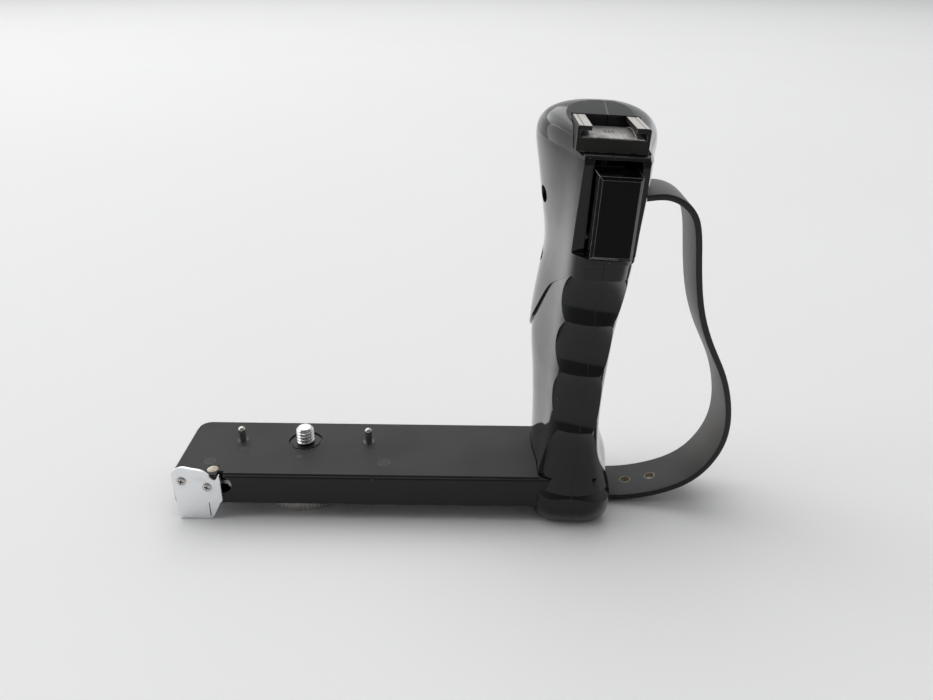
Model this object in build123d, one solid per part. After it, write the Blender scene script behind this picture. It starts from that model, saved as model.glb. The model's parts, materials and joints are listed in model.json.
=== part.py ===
from build123d import *
import math
import os

os.makedirs("parts", exist_ok=True)

# Camera hand grip. A flat bar goes under the camera, and a hollow handle stands at its right end.
# Millimetres. The origin is the camera screw's axis at the seat face, +X runs along the bar to the
# handle, +Y points away from the trigger side and +Z is up.

# Bar
bar_left = 42.5
bar_right = 103.0
bar_front = 22.0
bar_back = 13.0
bar_drop = 11.7
sheet = 1.5
edge_radius = 0.9
back_corner_radius = 5.0
front_corner_radius = 1.6
pad_thickness = 0.6
pad_margin = 1.0
pad_end = 86.0
cover_thickness = 1.2
table_drop = 18.0

# Camera screw, its wheel and the locating pins
thread_radius = 3.175
thread_height = 5.8
thread_chamfer = 0.5
shank_radius = 2.5
bush_radius = 5.2
bush_flange_thickness = 0.4
bush_neck_radius = 4.2
bush_depth = 4.4
pad_hole_radius = 6.1
screw_play = 0.1
ring_radius = 4.0
ring_thickness = 0.8
wheel_radius = 18.6
wheel_thickness = 5.3
wheel_teeth = 84
tooth_depth = 0.6
wheel_chamfer = 0.7
wheel_hub_radius = 6.2
wheel_hub_height = 2.6
wheel_recess_radius = 12.5
wheel_recess_depth = 1.2
pin_spacing = 46.0
pin_radius = 1.3
pin_height = 5.6
pin_collar_radius = 2.1
pin_shank_radius = 1.0
pin_foot_radius = 2.0
pin_foot = 1.2

# Fits
running_gap = 0.05
side_gap = 0.2
soft_gap = 0.3
seat_gap = 0.1
overrun = 5.0

# Handle: its foot stands beside the bar and it leans away from the camera
handle_x = 94.9
lean = 2.6
head_half_width = 18.2
head_nose = 10.4
handle_front = 25.6
handle_back = 17.6
crown_height = 119.6
crown_radius = 8.0
crown_tilt = 15.0
wall = 2.2
nose_wall = 6.6
nose_draw = 3.5
seam_plate = 2.0
cheek_front = 21.0
cheek_low = 80.2
cheek_corner = 4.0
valley_depth = 1.9
valley_plan_radius = 13.6
foot_flare = 2.5
ridge_step = 0.4

# Accessory shoe
shoe_side = -0.6
shoe_width = 20.8
shoe_length = 18.5
shoe_front = 18.6
shoe_floor = 113.4
shoe_base = 3.8
shoe_slot_width = 18.7
shoe_slot_height = 2.1
shoe_lip_gap = 12.6
shoe_lip = 1.3
leaf_thickness = 0.3
leaf_inset = 0.4
leaf_arm_width = 2.4
leaf_rise = 1.2
shoe_chamfer = 0.5
shoe_screw_radius = 1.0
shoe_screw_head_radius = 1.8
shoe_screw_head = 1.2
shoe_screw_spacing = 10.0
shoe_screw_y = -4.0
shoe_screw_reach = 8.6

# Trigger
trigger_side = 1.5
trigger_width = 12.4
trigger_front = 28.6
trigger_low = 80.9
trigger_high = 105.1
trigger_back = 15.0
trigger_draft = 2.0
trigger_edge = 0.9
trigger_pivot_y = -16.5
trigger_pivot_z = 84.2
trigger_pin_radius = 1.5
trigger_pin_left = 9.4
trigger_pin_right = 10.0
trigger_arm = 8.5
trigger_travel = 12.0
trigger_wall = 2.0
trigger_cheek = 1.8
trigger_cheek_gap = 2.6
link_pin_radius = 1.0

# Linkage in the bar
crank_height = -4.8
crank_arm = 6.3
rod_arm = 3.4
rod_radius = 1.0
rod_y = -13.0
link_y = -8.0
release_arm = 7.5
release_x = -28.6
release_y = -18.7
link_radius = 1.2
eye_radius = 2.0
eye_thickness = 1.6
hub_radius = 2.3
pivot_radius = 1.0
pivot_head_radius = 1.2
pivot_head = 0.8
bracket_thickness = 1.0
crank_eye_hole = 1.45
rod_eye_hole = 1.25
trigger_eye_hole = 1.35
pin_length = 3.3
crank_plate_y = -11.9
crank_hub_y = -12.1
crank_hub_length = 2.5
lever_x = -21.1
lever_plate_y = -15.6
lever_hub_y = -20.3
lever_tip_y = -19.5
lever_tip_radius = 0.8
bracket_length = 7.0
bracket_depth = 5.4
crank_ear_y = -9.3
crank_foot_depth = 4.8
lever_ear_y = -11.2
lever_foot_depth = 4.7
rivet_radius = 0.9
rivet_head_radius = 1.6
rivet_head = 0.6
rivet_reach = 2.0
link_hole_radius = 2.3
collar_radius = 2.6
collar_height = 1.5
collar_z = 59.5
spring_low = 35.2
spring_radius = 2.45
spring_wire = 0.35
spring_wire_sides = 6
spring_turns = 6
lug_thickness = 1.5
lug_reach = 3.5
lug_hole_radius = 1.5

# Release stud at the left end
notch_right = 24.4
notch_depth = 2.2
notch_low = 2.1
guide_half = 2.0
guide_low = 1.1
guide_high = 0.1
stud_radius = 2.0
stud_shank_radius = 1.2
stud_dome = 0.7
stud_foot_radius = 1.7
stud_foot = 0.5
stud_low = 3.9
window_x = -25.1
window_z = -4.4
window_radius = 3.3

# Core plate
core_half = 1.0
core_front = 4.0
core_back = 9.0
core_slot_width = 5.0
core_slot_length = 14.0
core_slot_places = (22.0, 50.0)
core_foot_left = 88.0
core_foot_front = 3.0
core_foot_thickness = 2.0
core_head_half = 6.5
core_head_front = 7.0
core_head_thickness = 2.0
bolt_radius = 1.5
bolt_head_radius = 2.6
bolt_head = 2.0
bolt_spacing = 8.0
bolt_middle_x = 95.0
bolt_y = 4.5
nut_width = 5.5
nut_height = 2.2

# Cover and its posts
post_radius = 2.4
post_places = ((-34.0, -2.0), (34.0, 6.0), (76.0, 5.0))
cover_screw_radius = 1.0
cover_screw_head_radius = 2.0
cover_screw_head = 0.6
boss_height = 2.0
cover_boss_radius = 3.2

# End plate
plate_thickness = 1.0
plate_left = 41.6
plate_bottom = 17.8
plate_width = 16.4
plate_height = 21.0
slit_x = -30.0
slit_width = 0.35
slit_low = -16.7
slit_high = -11.1
plate_screw_radius = 1.0
plate_screw_head_radius = 1.6
plate_screw_head = 0.5
plate_screw_places = ((-38.4, -2.3), (-29.9, -4.6))

# Strap
strap_width = 19.0
strap_thickness = 2.0
strap_middle_y = -1.0
strap_hole_radius = 1.7
strap_hole_spacing = 8.9
strap_holes = 5
strap_screw_x = 90.8
strap_end_x = 86.6
strap_low_z = -15.9
strap_pin_radius = 1.2
strap_pin_side = 8.6
strap_pin_height = 97.0
strap_ear = 1.0
strap_root_x = 100.0
strap_screw_radius = 1.4
strap_screw_head_radius = 3.4
strap_screw_head = 0.6


def span(x0, x1, y0, y1, z0, z1):
    """A block between two corners."""
    middle = Pos((x0 + x1) / 2, (y0 + y1) / 2, (z0 + z1) / 2)
    return middle * Box(x1 - x0, y1 - y0, z1 - z0)


def upright(radius, x, y, z0, z1):
    return Pos(x, y, (z0 + z1) / 2) * Cylinder(radius, z1 - z0)


def along_x(radius, x0, x1, y, z):
    return Pos((x0 + x1) / 2, y, z) * Rot(0, 90, 0) * Cylinder(radius, x1 - x0)


def along_y(radius, x, y0, y1, z):
    return Pos(x, (y0 + y1) / 2, z) * Rot(90, 0, 0) * Cylinder(radius, y1 - y0)


def on_handle(shape):
    """Move a shape from the handle's upright frame to its place, with the lean."""
    return Pos(handle_x, 0, 0) * Rot(0, lean, 0) * shape


def save(shape, node):
    shape = shape if isinstance(shape, Compound) and len(shape.solids()) > 1 else shape.solid()
    export_step(shape, f"parts/{node}.step")
    return shape


# Handle shells. Each row below is a level of the handle: its height as a share of the whole, then the
# half width and the nose's half width on the fingertip side, the same two on the palm side, the front
# and the back, as shares of the sizes at the head.
handle_height = table_drop + crown_height
crown_share = (handle_height - crown_radius) / handle_height
level_shares = (
    (-0.008, 0.500, 0.860, 0.604, 0.981, 0.790, 0.795),
    (0.006, 0.600, 1.030, 0.700, 1.160, 0.895, 0.905),
    (0.035, 0.655, 1.110, 0.760, 1.280, 0.980, 0.994),
    (0.076, 0.675, 1.120, 0.800, 1.288, 1.004, 1.023),
    (0.120, 0.685, 1.060, 0.790, 1.160, 0.994, 1.000),
    (0.167, 0.700, 0.950, 0.660, 0.860, 0.984, 0.966),
    (0.225, 0.720, 0.856, 0.545, 0.680, 0.982, 0.943),
    (0.298, 0.760, 0.820, 0.500, 0.600, 0.984, 0.955),
    (0.374, 0.810, 0.830, 0.490, 0.590, 0.985, 0.985),
    (0.451, 0.863, 0.840, 0.510, 0.620, 0.986, 1.000),
    (0.531, 0.830, 0.850, 0.550, 0.670, 0.992, 1.010),
    (0.610, 0.780, 0.835, 0.670, 0.790, 1.000, 1.000),
    (0.690, 0.760, 0.810, 0.745, 0.880, 1.010, 0.975),
    (0.770, 0.880, 0.785, 0.800, 0.910, 1.008, 0.970),
    (0.843, 0.990, 0.760, 0.855, 0.965, 0.995, 0.980),
    (0.901, 1.075, 0.760, 0.870, 0.985, 0.980, 0.985),
    (crown_share, 1.110, 0.760, 0.875, 1.000, 0.970, 0.982),
)
# How much fuller the fingertip side stands above its ridge, by level, as shares of the half width, and
# the share of this that is left below the ridge.
fuller_shares = (0, 0, 0, 0, 0, 0, 0, 0.01, 0.03, 0.044, 0.066, 0.06, 0.04, 0.01, 0, 0, 0)
below_ridge_share = 0.6
# How far each level tips down towards the front, as shares of the crown's tilt, and then the same for
# the crown's own levels, each at a turn of its rounded edge.
tilt_shares = (0, 0, 0, 0, 0, 0, 0, 0, 0, 0, 0, 0, 0, 0, 0, 0.2, 0.5)
crown_tilt_shares = ((0, 0.5), (45, 0.8), (90, 1))
# The outline's points: share of the nose width, share of the rest of the width, share of the depth.
outline_shares = (
    (0.00, 0.00, 0.000),
    (0.60, 0.00, 0.014),
    (0.97, 0.00, 0.090),
    (1.00, 0.32, 0.260),
    (1.00, 0.76, 0.480),
    (1.00, 1.00, 0.700),
    (0.80, 0.80, 0.900),
    (0.42, 0.42, 0.985),
    (0.00, 0.00, 1.000),
)
cavity_levels = (4, 6, 8, 10, 12, 14, 16)
cavity_low = -1.0
roof = 2.8
ridge_height = 78.5
ridge_corner_y = -26.5
ridge_run = 46.5
ridge_drop = 39.5
ridge_shares = ((0, 0), (0.10, 0.11), (0.21, 0.21), (0.36, 0.31), (0.49, 0.52), (0.58, 0.69), (0.67, 0.81),
                (0.83, 0.94), (1, 1))
beyond = 60.0
valley_ends = (-5.0, 20.0, 41.0, 58.5, 73.5)
valley_front = 25.0
valley_axis_y = valley_plan_radius + valley_depth - valley_front
valley_sweep = 150.0
slot_high = 108.0
brow_radius = 3.5
boss_radius = 3.2
shell_screw_radius = 1.5
shell_screw_head_radius = 2.6
shell_screw_head = 1.8
shell_screw_reach = 7.0
shell_screw_places = ((0.0, 92.0, 13.4), (5.0, 71.0, 11.6), (7.0, 8.0, 10.2))


def outline_points(side, half, nose, front, back):
    points = []
    for a, b, c in outline_shares:
        points.append((side * (a * nose + b * (half - nose)), front + c * (back - front)))
    return points


def outline_runs():
    """How far along the outline each point lies. All levels share it, which keeps the lofts light."""
    points = outline_points(1, head_half_width, head_nose, -handle_front, handle_back)
    runs = [0]
    for start, end in zip(points, points[1:]):
        runs.append(runs[-1] + math.dist(start, end))
    return runs


def level_points(level, side, inset=0.0, nose_inset=0.0, fuller=0.0):
    """One half of a level's outline, from the front of the seam round to its back."""
    width_share, nose_share = level[1:3] if side < 0 else level[3:5]
    half = width_share * head_half_width + fuller - inset
    nose = nose_share * head_nose + min(fuller, ridge_step) - min(inset, nose_draw)
    front = -level[5] * handle_front - min(fuller, ridge_step) + nose_inset
    back = level[6] * handle_back + min(fuller, ridge_step) - inset
    return outline_points(side, half, nose, front, back)


def level_height(level):
    return level[0] * handle_height - table_drop


def half_face(level, side, tilt=0.0, rise=0.0, **sizes):
    """Half of a level as a smooth face that closes on the seam. It tips about the crown's back edge."""
    points = level_points(level, side, **sizes)
    ends = [(side, 0), (-side, 0)]
    curve = Edge.make_spline(points, tangents=ends, parameters=outline_runs(), scale=False)
    back = handle_back - crown_radius
    face = Pos(0, -back, 0) * make_face([curve, Line(points[-1], points[0])])
    return Pos(0, back, level_height(level) + rise) * Rot(tilt * crown_tilt, 0, 0) * face


def handle_body(side, fuller):
    faces = []
    for level, tilt, more in zip(level_shares, tilt_shares, fuller):
        faces.append(half_face(level, side, tilt=tilt, fuller=more))
    return loft(faces)


def crown(side):
    """Half of the head's top: the last level drawn in along an arc, lower at the front."""
    faces = []
    for turn, tilt in crown_tilt_shares:
        inset = crown_radius * (1 - math.cos(math.radians(turn)))
        rise = crown_radius * math.sin(math.radians(turn))
        faces.append(half_face(level_shares[-1], side, tilt, rise, inset=inset, fuller=ridge_step))
    return loft(faces)


def handle_cavity(side):
    """The hollow inside one half: flat stretches that keep a wall's distance from the outside."""
    faces = []
    for row in cavity_levels:
        points = level_points(level_shares[row], side, inset=wall, nose_inset=nose_wall)
        front, back = points[0][1], points[-1][1]
        points += [(-side * overrun, back), (-side * overrun, front)]
        faces.append(Pos(0, 0, level_height(level_shares[row])) * make_face(Polyline(*points, close=True)))
    slab = span(-beyond, beyond, -beyond, beyond, cavity_low, shoe_floor - shoe_base - roof)
    return loft(faces, ruled=True) & slab


def above_ridge(side):
    """Everything above the line where the full upper flank steps in to the finger part."""
    start = (ridge_corner_y, ridge_height)
    if side > 0:
        line = Line(start, (beyond, ridge_height))
    else:
        points = [(start[0] + a * ridge_run, start[1] - b * ridge_drop) for a, b in ridge_shares]
        line = Spline(*points)
    end = line @ 1
    rest = Polyline(end, (end.X, handle_height), (-beyond, handle_height), (-beyond, ridge_height), start)
    face = make_face([line, rest])
    return extrude(Plane.YZ * face, amount=beyond, both=True)


def valley(low, high, flare):
    """The room of one finger: a dished ring round the front of the handle, flared at its lower lip."""
    half = (high - low) / 2
    radius = (half**2 + valley_depth**2) / (2 * valley_depth)
    lip = valley_plan_radius + valley_depth
    outer = lip + radius
    arc = ThreePointArc((lip, low), (valley_plan_radius, low + half), (lip, high))
    points = [(lip, high), (outer, high), (outer, low - flare), (lip + flare, low - flare), (lip, low)]
    rest = Polyline(*(points if flare else points[:2] + [(outer, low), (lip, low)]))
    ring = Plane.XZ * make_face([arc, rest])
    ring = Rot(0, 0, -90 - valley_sweep / 2) * ring
    return Pos(0, valley_axis_y, 0) * revolve(ring, Axis.Z, revolution_arc=valley_sweep)


def trigger_room():
    """The space that the trigger needs behind its slot, through its whole swing."""
    half = trigger_width / 2 + (trigger_front - trigger_back) * math.tan(math.radians(trigger_draft))
    half = half + side_gap + seat_gap
    swing = trigger_high - trigger_pivot_z
    back = trigger_pivot_y + swing * math.sin(math.radians(trigger_travel)) + 2 * hub_radius
    front = -beyond
    return span(trigger_side - half, trigger_side + half, front, back, cheek_low, slot_high)


def cheek_cut():
    """The flat front of the head, with its rounded lower corners."""
    tall = handle_height - cheek_low
    face = Pos(0, cheek_low + tall / 2) * RectangleRounded(2 * head_half_width, tall, cheek_corner)
    return extrude(Plane(origin=(0, -cheek_front, 0), x_dir=(1, 0, 0), z_dir=(0, -1, 0)) * face,
                   amount=beyond)


def brow_cut():
    """Rounds the head's front edge under the accessory shoe."""
    seat = shoe_floor - shoe_base
    low = seat - brow_radius
    back = -cheek_front + brow_radius
    block = span(-beyond, beyond, -beyond, back, low, handle_height)
    return block - along_x(brow_radius, -beyond, beyond, back, low)


def shoe_pocket():
    half = shoe_width / 2 + seat_gap
    seat = shoe_floor - shoe_base
    back = shoe_length - shoe_front + seat_gap
    return span(shoe_side - half, shoe_side + half, -beyond, back, seat, handle_height)


def bar_room():
    """The bar's socket through the foot, in the object's own frame."""
    return span(0, bar_right + seat_gap, -bar_front - running_gap, bar_back + running_gap,
                -bar_drop - running_gap, running_gap)


def strap_recess():
    half = strap_width / 2 + soft_gap
    top = strap_low_z + strap_thickness / 2 + soft_gap
    return span(strap_end_x - soft_gap, bar_right + beyond, strap_middle_y - half,
                strap_middle_y + half, -table_drop - overrun, top)


def strap_ears():
    half = strap_width / 2 + soft_gap
    low = strap_pin_height - 2 * strap_pin_radius
    high = strap_pin_height + 2 * strap_pin_radius
    front = span(strap_pin_side - 2 * strap_pin_radius, beyond, strap_middle_y - half - strap_ear,
                 strap_middle_y - half, low, high)
    return front + Pos(0, 2 * half + strap_ear, 0) * front


def strap_pin_shape():
    half = strap_width / 2 + soft_gap + strap_ear
    return along_y(strap_pin_radius, strap_pin_side, strap_middle_y - half, strap_middle_y + half,
                   strap_pin_height)


def strap_eye_room():
    half = strap_width / 2 + soft_gap
    radius = strap_pin_radius + strap_thickness + 2 * soft_gap
    return along_y(radius, strap_pin_side, strap_middle_y - half, strap_middle_y + half,
                   strap_pin_height)


def trigger_pin_shape():
    return along_x(trigger_pin_radius, -trigger_pin_left, trigger_pin_right, trigger_pivot_y,
                   trigger_pivot_z)


def shell_screw_space(side):
    spaces = []
    for y, z, seat in shell_screw_places:
        if side < 0:
            spaces.append(along_x(shell_screw_radius + seat_gap, -seat, 0, y, z))
            spaces.append(along_x(shell_screw_head_radius + seat_gap, -beyond, -seat, y, z))
        else:
            spaces.append(along_x(shell_screw_radius, 0, shell_screw_reach + seat_gap, y, z))
    return spaces


def shell(side):
    """One half of the moulded handle: -1 is the fingertip side, 1 the palm side."""
    more = [f * head_half_width if side < 0 else 0 for f in fuller_shares]
    high = above_ridge(side)
    lower = handle_body(side, [below_ridge_share * f for f in more])
    upper = handle_body(side, [ridge_step + f for f in more])
    body = (lower - high) + (upper & high) + crown(side)
    for low, top in zip(valley_ends, valley_ends[1:]):
        body = body - valley(low, top, foot_flare if low == valley_ends[0] else 0)
    body = body - cheek_cut() - brow_cut() - shoe_pocket()
    solid = body
    body = body - handle_cavity(side)
    start, end = sorted((side * seam_plate / 2, side * beyond))
    for y, z, seat in shell_screw_places:
        body = body + (along_x(boss_radius, start, end, y, z) & solid)
    body = body - trigger_room()
    ear_start, ear_end = sorted((0, side * beyond))
    ear = along_x(2 * trigger_pin_radius, ear_start, ear_end, trigger_pivot_y, trigger_pivot_z)
    body = body + ((ear - trigger_room()) & solid) - trigger_pin_shape()
    for space in shell_screw_space(side):
        body = body - space
    if side > 0:
        body = body + (strap_ears() & solid) - trigger_room() - strap_pin_shape()
        body = body - strap_eye_room()
    for x in shoe_screw_sides():
        body = body - upright(shoe_screw_radius + seat_gap, x, shoe_screw_y, 0, handle_height)
    body = on_handle(body) - bar_room() - strap_recess()
    if side > 0:
        body = body - strap_band(soft_gap)
    body = body - upright(strap_screw_head_radius + seat_gap, strap_screw_x, strap_middle_y,
                          -table_drop, -bar_drop)
    table = span(-beyond, handle_height, -beyond, beyond,
                 -table_drop - handle_height, -table_drop)
    return body - table


# Bar
def bar_plan(inset, right):
    """The bar's outline from above, drawn in by a distance, up to its right end."""
    left, front, back = inset - bar_left, inset - bar_front, bar_back - inset
    face = Pos((left + right) / 2, (front + back) / 2) * Rectangle(right - left, back - front)
    corner = face.vertices().sort_by_distance((left, back, 0))[0]
    face = fillet(corner, back_corner_radius - inset)
    corner = face.vertices().sort_by_distance((left, front, 0))[0]
    return fillet(corner, max(front_corner_radius - inset, seat_gap))


def bar_slab(inset, right, z0, z1):
    return extrude(Pos(0, 0, z0) * bar_plan(inset, right), amount=z1 - z0)


def pin_places():
    return [(-pin_spacing / 2, 0), (pin_spacing / 2, 0)]


def bolt_places():
    half = bolt_spacing / 2
    return [(bolt_middle_x - half, bolt_y), (bolt_middle_x + half, bolt_y)]


def guide_slot(low, high):
    back = release_y + guide_half
    return span(release_x - guide_half, release_x + guide_half, -bar_front, back, low, high)


def corner_notch(low):
    """The opening in the bar's front edge beside the release stud."""
    return span(release_x, -notch_right, -bar_front - overrun, notch_depth - bar_front, low, overrun)


def handle_point(u, w):
    """Where a point of the handle's frame lies in the object's frame, as x and z."""
    tilt = math.radians(lean)
    return (handle_x + u * math.cos(tilt) + w * math.sin(tilt),
            w * math.cos(tilt) - u * math.sin(tilt))


link_low = (crank_height + trigger_side * math.sin(math.radians(lean))) / math.cos(math.radians(lean))
link_x = handle_point(trigger_side, link_low)[0]
crank_x = link_x - crank_arm
rod_height = crank_height - rod_arm
plate_top_z = -pad_thickness
under_top = plate_top_z - sheet


def rivet_places():
    """The brackets' rivets, from above: two for the crank and two for the end lever."""
    crank_row = crank_ear_y + bracket_thickness + crank_foot_depth - rivet_reach
    lever_row = lever_ear_y + bracket_thickness + lever_foot_depth - rivet_reach
    places = []
    for x, y in ((crank_x, crank_row), (lever_x, lever_row)):
        places += [(x - rivet_reach, y), (x + rivet_reach, y)]
    return places


def bar_channel():
    body = bar_slab(0, bar_right, -bar_drop, plate_top_z)
    edges = body.edges().group_by(Axis.Z)[-1].sort_by(Axis.X)[:-1]
    body = fillet(edges, edge_radius)
    body = body - bar_slab(sheet, bar_right + overrun, -bar_drop, under_top)
    body = body - upright(bush_neck_radius, 0, 0, -bar_drop, 0)
    for x, y in pin_places():
        body = body - upright(pin_shank_radius, x, y, -bar_drop, 0)
    for x, y in bolt_places():
        body = body - upright(bolt_radius + running_gap, x, y, -bar_drop, 0)
    for x, y in rivet_places():
        body = body - upright(rivet_radius, x, y, -bar_drop, 0)
    for x, y in post_places:
        body = body - upright(cover_screw_radius, x, y, -bar_drop, 0)
    body = body - upright(link_hole_radius, link_x, link_y, -bar_drop, 0)
    body = body - guide_slot(under_top, overrun) - corner_notch(-notch_low)
    body = body - along_y(window_radius, window_x, -bar_front, -bar_front + sheet, window_z)
    for x, z in plate_screw_places:
        body = body - along_y(plate_screw_radius, x, -bar_front, -bar_front + sheet, z)
    return body


def camera_pad():
    """The thin sheet that the camera sits on. Its right end is cut to the handle's outline."""
    body = bar_slab(pad_margin, pad_end, -pad_thickness, 0)
    body = body - upright(pad_hole_radius, 0, 0, -pad_thickness, 0)
    for x, y in pin_places():
        body = body - upright(pin_collar_radius + running_gap, x, y, -pad_thickness, 0)
    levels = [half_face(level, -1, inset=-side_gap, nose_inset=-side_gap) for level in level_shares[4:6]]
    body = body - on_handle(loft(levels))
    return body - guide_slot(-pad_thickness, 0) - corner_notch(-pad_thickness)


def bar_cover():
    body = bar_slab(sheet + running_gap, bar_right, -bar_drop, cover_thickness - bar_drop)
    boss_top = cover_thickness - bar_drop + boss_height
    body = body + upright(cover_boss_radius, strap_screw_x, strap_middle_y, -bar_drop, boss_top)
    body = body - upright(strap_screw_radius, strap_screw_x, strap_middle_y, -bar_drop, boss_top)
    body = body - upright(wheel_hub_radius + side_gap, 0, 0, -bar_drop, 0)
    for x, y in post_places:
        body = body - upright(cover_screw_radius, x, y, -bar_drop, 0)
        body = body - upright(cover_screw_head_radius, x, y, -bar_drop, cover_screw_head - bar_drop)
    return body


def cover_posts():
    posts = []
    for x, y in post_places:
        post = upright(post_radius, x, y, cover_thickness - bar_drop, under_top)
        post = post + upright(cover_screw_radius, x, y, under_top, plate_top_z)
        low = cover_thickness - bar_drop
        posts.append(post - upright(cover_screw_radius, x, y, low, low / 2))
    return Compound(posts)


def cover_screws():
    screws = []
    for x, y in post_places:
        low = cover_thickness - bar_drop
        screw = upright(cover_screw_head_radius, x, y, -bar_drop, cover_screw_head - bar_drop)
        screws.append(screw + upright(cover_screw_radius, x, y, cover_screw_head - bar_drop, low / 2))
    return Compound(screws)


def screw_bush():
    body = upright(bush_radius, 0, 0, plate_top_z, plate_top_z + bush_flange_thickness)
    body = body + upright(bush_neck_radius, 0, 0, plate_top_z - bush_depth, plate_top_z)
    return body - upright(shank_radius + running_gap, 0, 0, -bar_drop, 0)


def camera_screw():
    """The threaded stud with the shank that runs in the bush and carries the wheel."""
    seat = plate_top_z + bush_flange_thickness + screw_play
    thread = upright(thread_radius, 0, 0, seat, thread_height)
    thread = chamfer(thread.edges().group_by(Axis.Z)[-1], thread_chamfer)
    return thread + upright(shank_radius, 0, 0, wheel_low + wheel_recess_depth, seat)


def retaining_ring():
    top = plate_top_z - bush_depth - screw_play
    body = upright(ring_radius, 0, 0, top - ring_thickness, top)
    return body - upright(shank_radius, 0, 0, -bar_drop, 0)


wheel_low = seat_gap - table_drop


def thumbwheel():
    """A knurled wheel: its rim is cut straight across like a fine gear."""
    step = 2 * math.pi / wheel_teeth
    points = []
    for tooth in range(wheel_teeth):
        for angle, radius in ((tooth * step, wheel_radius),
                              ((tooth + 1 / 2) * step, wheel_radius - tooth_depth)):
            points.append((radius * math.cos(angle), radius * math.sin(angle)))
    rim = make_face(Polyline(*points, close=True))
    body = extrude(Pos(0, 0, wheel_low) * rim, amount=wheel_thickness)
    blank = upright(wheel_radius, 0, 0, wheel_low, wheel_low + wheel_thickness)
    body = body & chamfer(blank.edges().filter_by(GeomType.CIRCLE), wheel_chamfer)
    top = wheel_low + wheel_thickness
    body = body + upright(wheel_hub_radius, 0, 0, top, top + wheel_hub_height)
    body = body - upright(wheel_recess_radius, 0, 0, wheel_low, wheel_low + wheel_recess_depth)
    return body - upright(shank_radius, 0, 0, wheel_low, 0)


def locating_pins():
    pins = []
    for x, y in pin_places():
        neck = pin_height - pin_radius
        pin = upright(pin_radius, x, y, plate_top_z, neck) + Pos(x, y, neck) * Sphere(pin_radius)
        pin = pin + upright(pin_collar_radius, x, y, plate_top_z, 0)
        pin = pin + upright(pin_shank_radius, x, y, under_top, plate_top_z)
        pins.append(pin + upright(pin_foot_radius, x, y, under_top - pin_foot, under_top))
    return Compound(pins)


# End plate and release stud
# The plate's outline, as shares of its width from the left and of its height from the bottom.
plate_top_shares = ((0.00, 0.838), (0.03, 0.910), (0.13, 0.975), (0.27, 0.998), (0.40, 0.975),
                    (0.756, 0.857), (0.93, 0.790), (1.00, 0.720))
plate_side_shares = ((0.994, 0.362), (0.939, 0.310), (0.774, 0.052), (0.713, 0.0), (0.049, 0.0),
                     (0.030, 0.040))


def front_face(y):
    """The upright plane at a depth, which faces the trigger side."""
    return Plane(origin=(0, y, 0), x_dir=(1, 0, 0), z_dir=(0, -1, 0))


def end_plate():
    """The bright plate on the bar's left front corner, with its slit and pointed tongue."""
    y = -bar_front
    top, side = [[(a * plate_width - plate_left, b * plate_height - plate_bottom) for a, b in table]
                 for table in (plate_top_shares, plate_side_shares)]
    curve = Spline(*top, tangents=((0, 1), (0, -1)))
    face = make_face([curve, Polyline(top[-1], *side, top[0])])
    body = extrude(front_face(y) * face, amount=plate_thickness)
    half = slit_width / 2
    body = body - span(slit_x - half, slit_x + half, y - plate_thickness, y, slit_low, slit_high)
    for x, z in plate_screw_places:
        body = body - along_y(plate_screw_radius + running_gap, x, y - plate_thickness, y, z)
    return body


def end_plate_screws():
    screws = []
    outer = -bar_front - plate_thickness
    for x, z in plate_screw_places:
        head = along_y(plate_screw_head_radius, x, outer - plate_screw_head, outer, z)
        head = chamfer(head.edges().filter_by(GeomType.CIRCLE).sort_by(Axis.Y)[:1], plate_screw_head / 2)
        shank = along_y(plate_screw_radius, x, outer, sheet - bar_front, z)
        screws.append(head + shank)
    return Compound(screws)


def release_guide():
    body = guide_slot(-guide_low, -guide_high)
    return body - upright(stud_shank_radius + running_gap, release_x, release_y, -bar_drop, 0)


def release_pin():
    dome_radius = (stud_radius**2 + stud_dome**2) / (2 * stud_dome)
    top = stud_dome - guide_high
    dome = Pos(release_x, release_y, top - dome_radius) * Sphere(dome_radius)
    body = upright(stud_radius, release_x, release_y, -guide_high, top) & dome
    body = body + upright(stud_shank_radius, release_x, release_y, -stud_low, -guide_high)
    foot = upright(stud_foot_radius, release_x, release_y, -stud_low, stud_foot - stud_low)
    return body + foot


# Linkage
def link_plate(ends, y0, y1):
    """A flat bar with round ends: each end is its x, its z and its radius."""
    edges = [edge for x, z, radius in ends for edge in (Pos(x, z) * Circle(radius)).edges()]
    return extrude(front_face(y1) * make_hull(edges), amount=y1 - y0)


def bracket(x, ear_y, foot_depth):
    """A bent plate under the bar's top: a hanging ear for a pivot and a riveted foot."""
    half = bracket_length / 2
    back = ear_y + bracket_thickness
    body = span(x - half, x + half, ear_y, back, under_top - bracket_depth, under_top)
    foot_low = under_top - bracket_thickness
    body = body + span(x - half, x + half, back, back + foot_depth, foot_low, under_top)
    return body - along_y(pivot_radius, x, ear_y, back, crank_height)


def riveted(body):
    for x, y in rivet_places():
        body = body - upright(rivet_radius, x, y, -bar_drop, 0)
    return body


def crank_bracket():
    return riveted(bracket(crank_x, crank_ear_y, crank_foot_depth))


def lever_bracket():
    return riveted(bracket(lever_x, lever_ear_y, lever_foot_depth))


def bracket_rivets():
    rivets = []
    low = under_top - bracket_thickness
    for x, y in rivet_places():
        head = upright(rivet_head_radius, x, y, low - rivet_head, low)
        rivets.append(head + upright(rivet_radius, x, y, low, plate_top_z))
    return Compound(rivets)


def crank_pivot():
    end = crank_hub_y - side_gap
    body = along_y(pivot_radius, crank_x, end, crank_ear_y + bracket_thickness, crank_height)
    return body + along_y(pivot_head_radius, crank_x, end - pivot_head, end, crank_height)


def lever_pivot():
    collar_end = lever_plate_y + eye_thickness + seat_gap
    front = sheet - bar_front + running_gap
    body = along_y(pivot_radius, lever_x, front, lever_ear_y + bracket_thickness, crank_height)
    return body + along_y(pivot_head_radius, lever_x, collar_end, lever_ear_y, crank_height)


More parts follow.
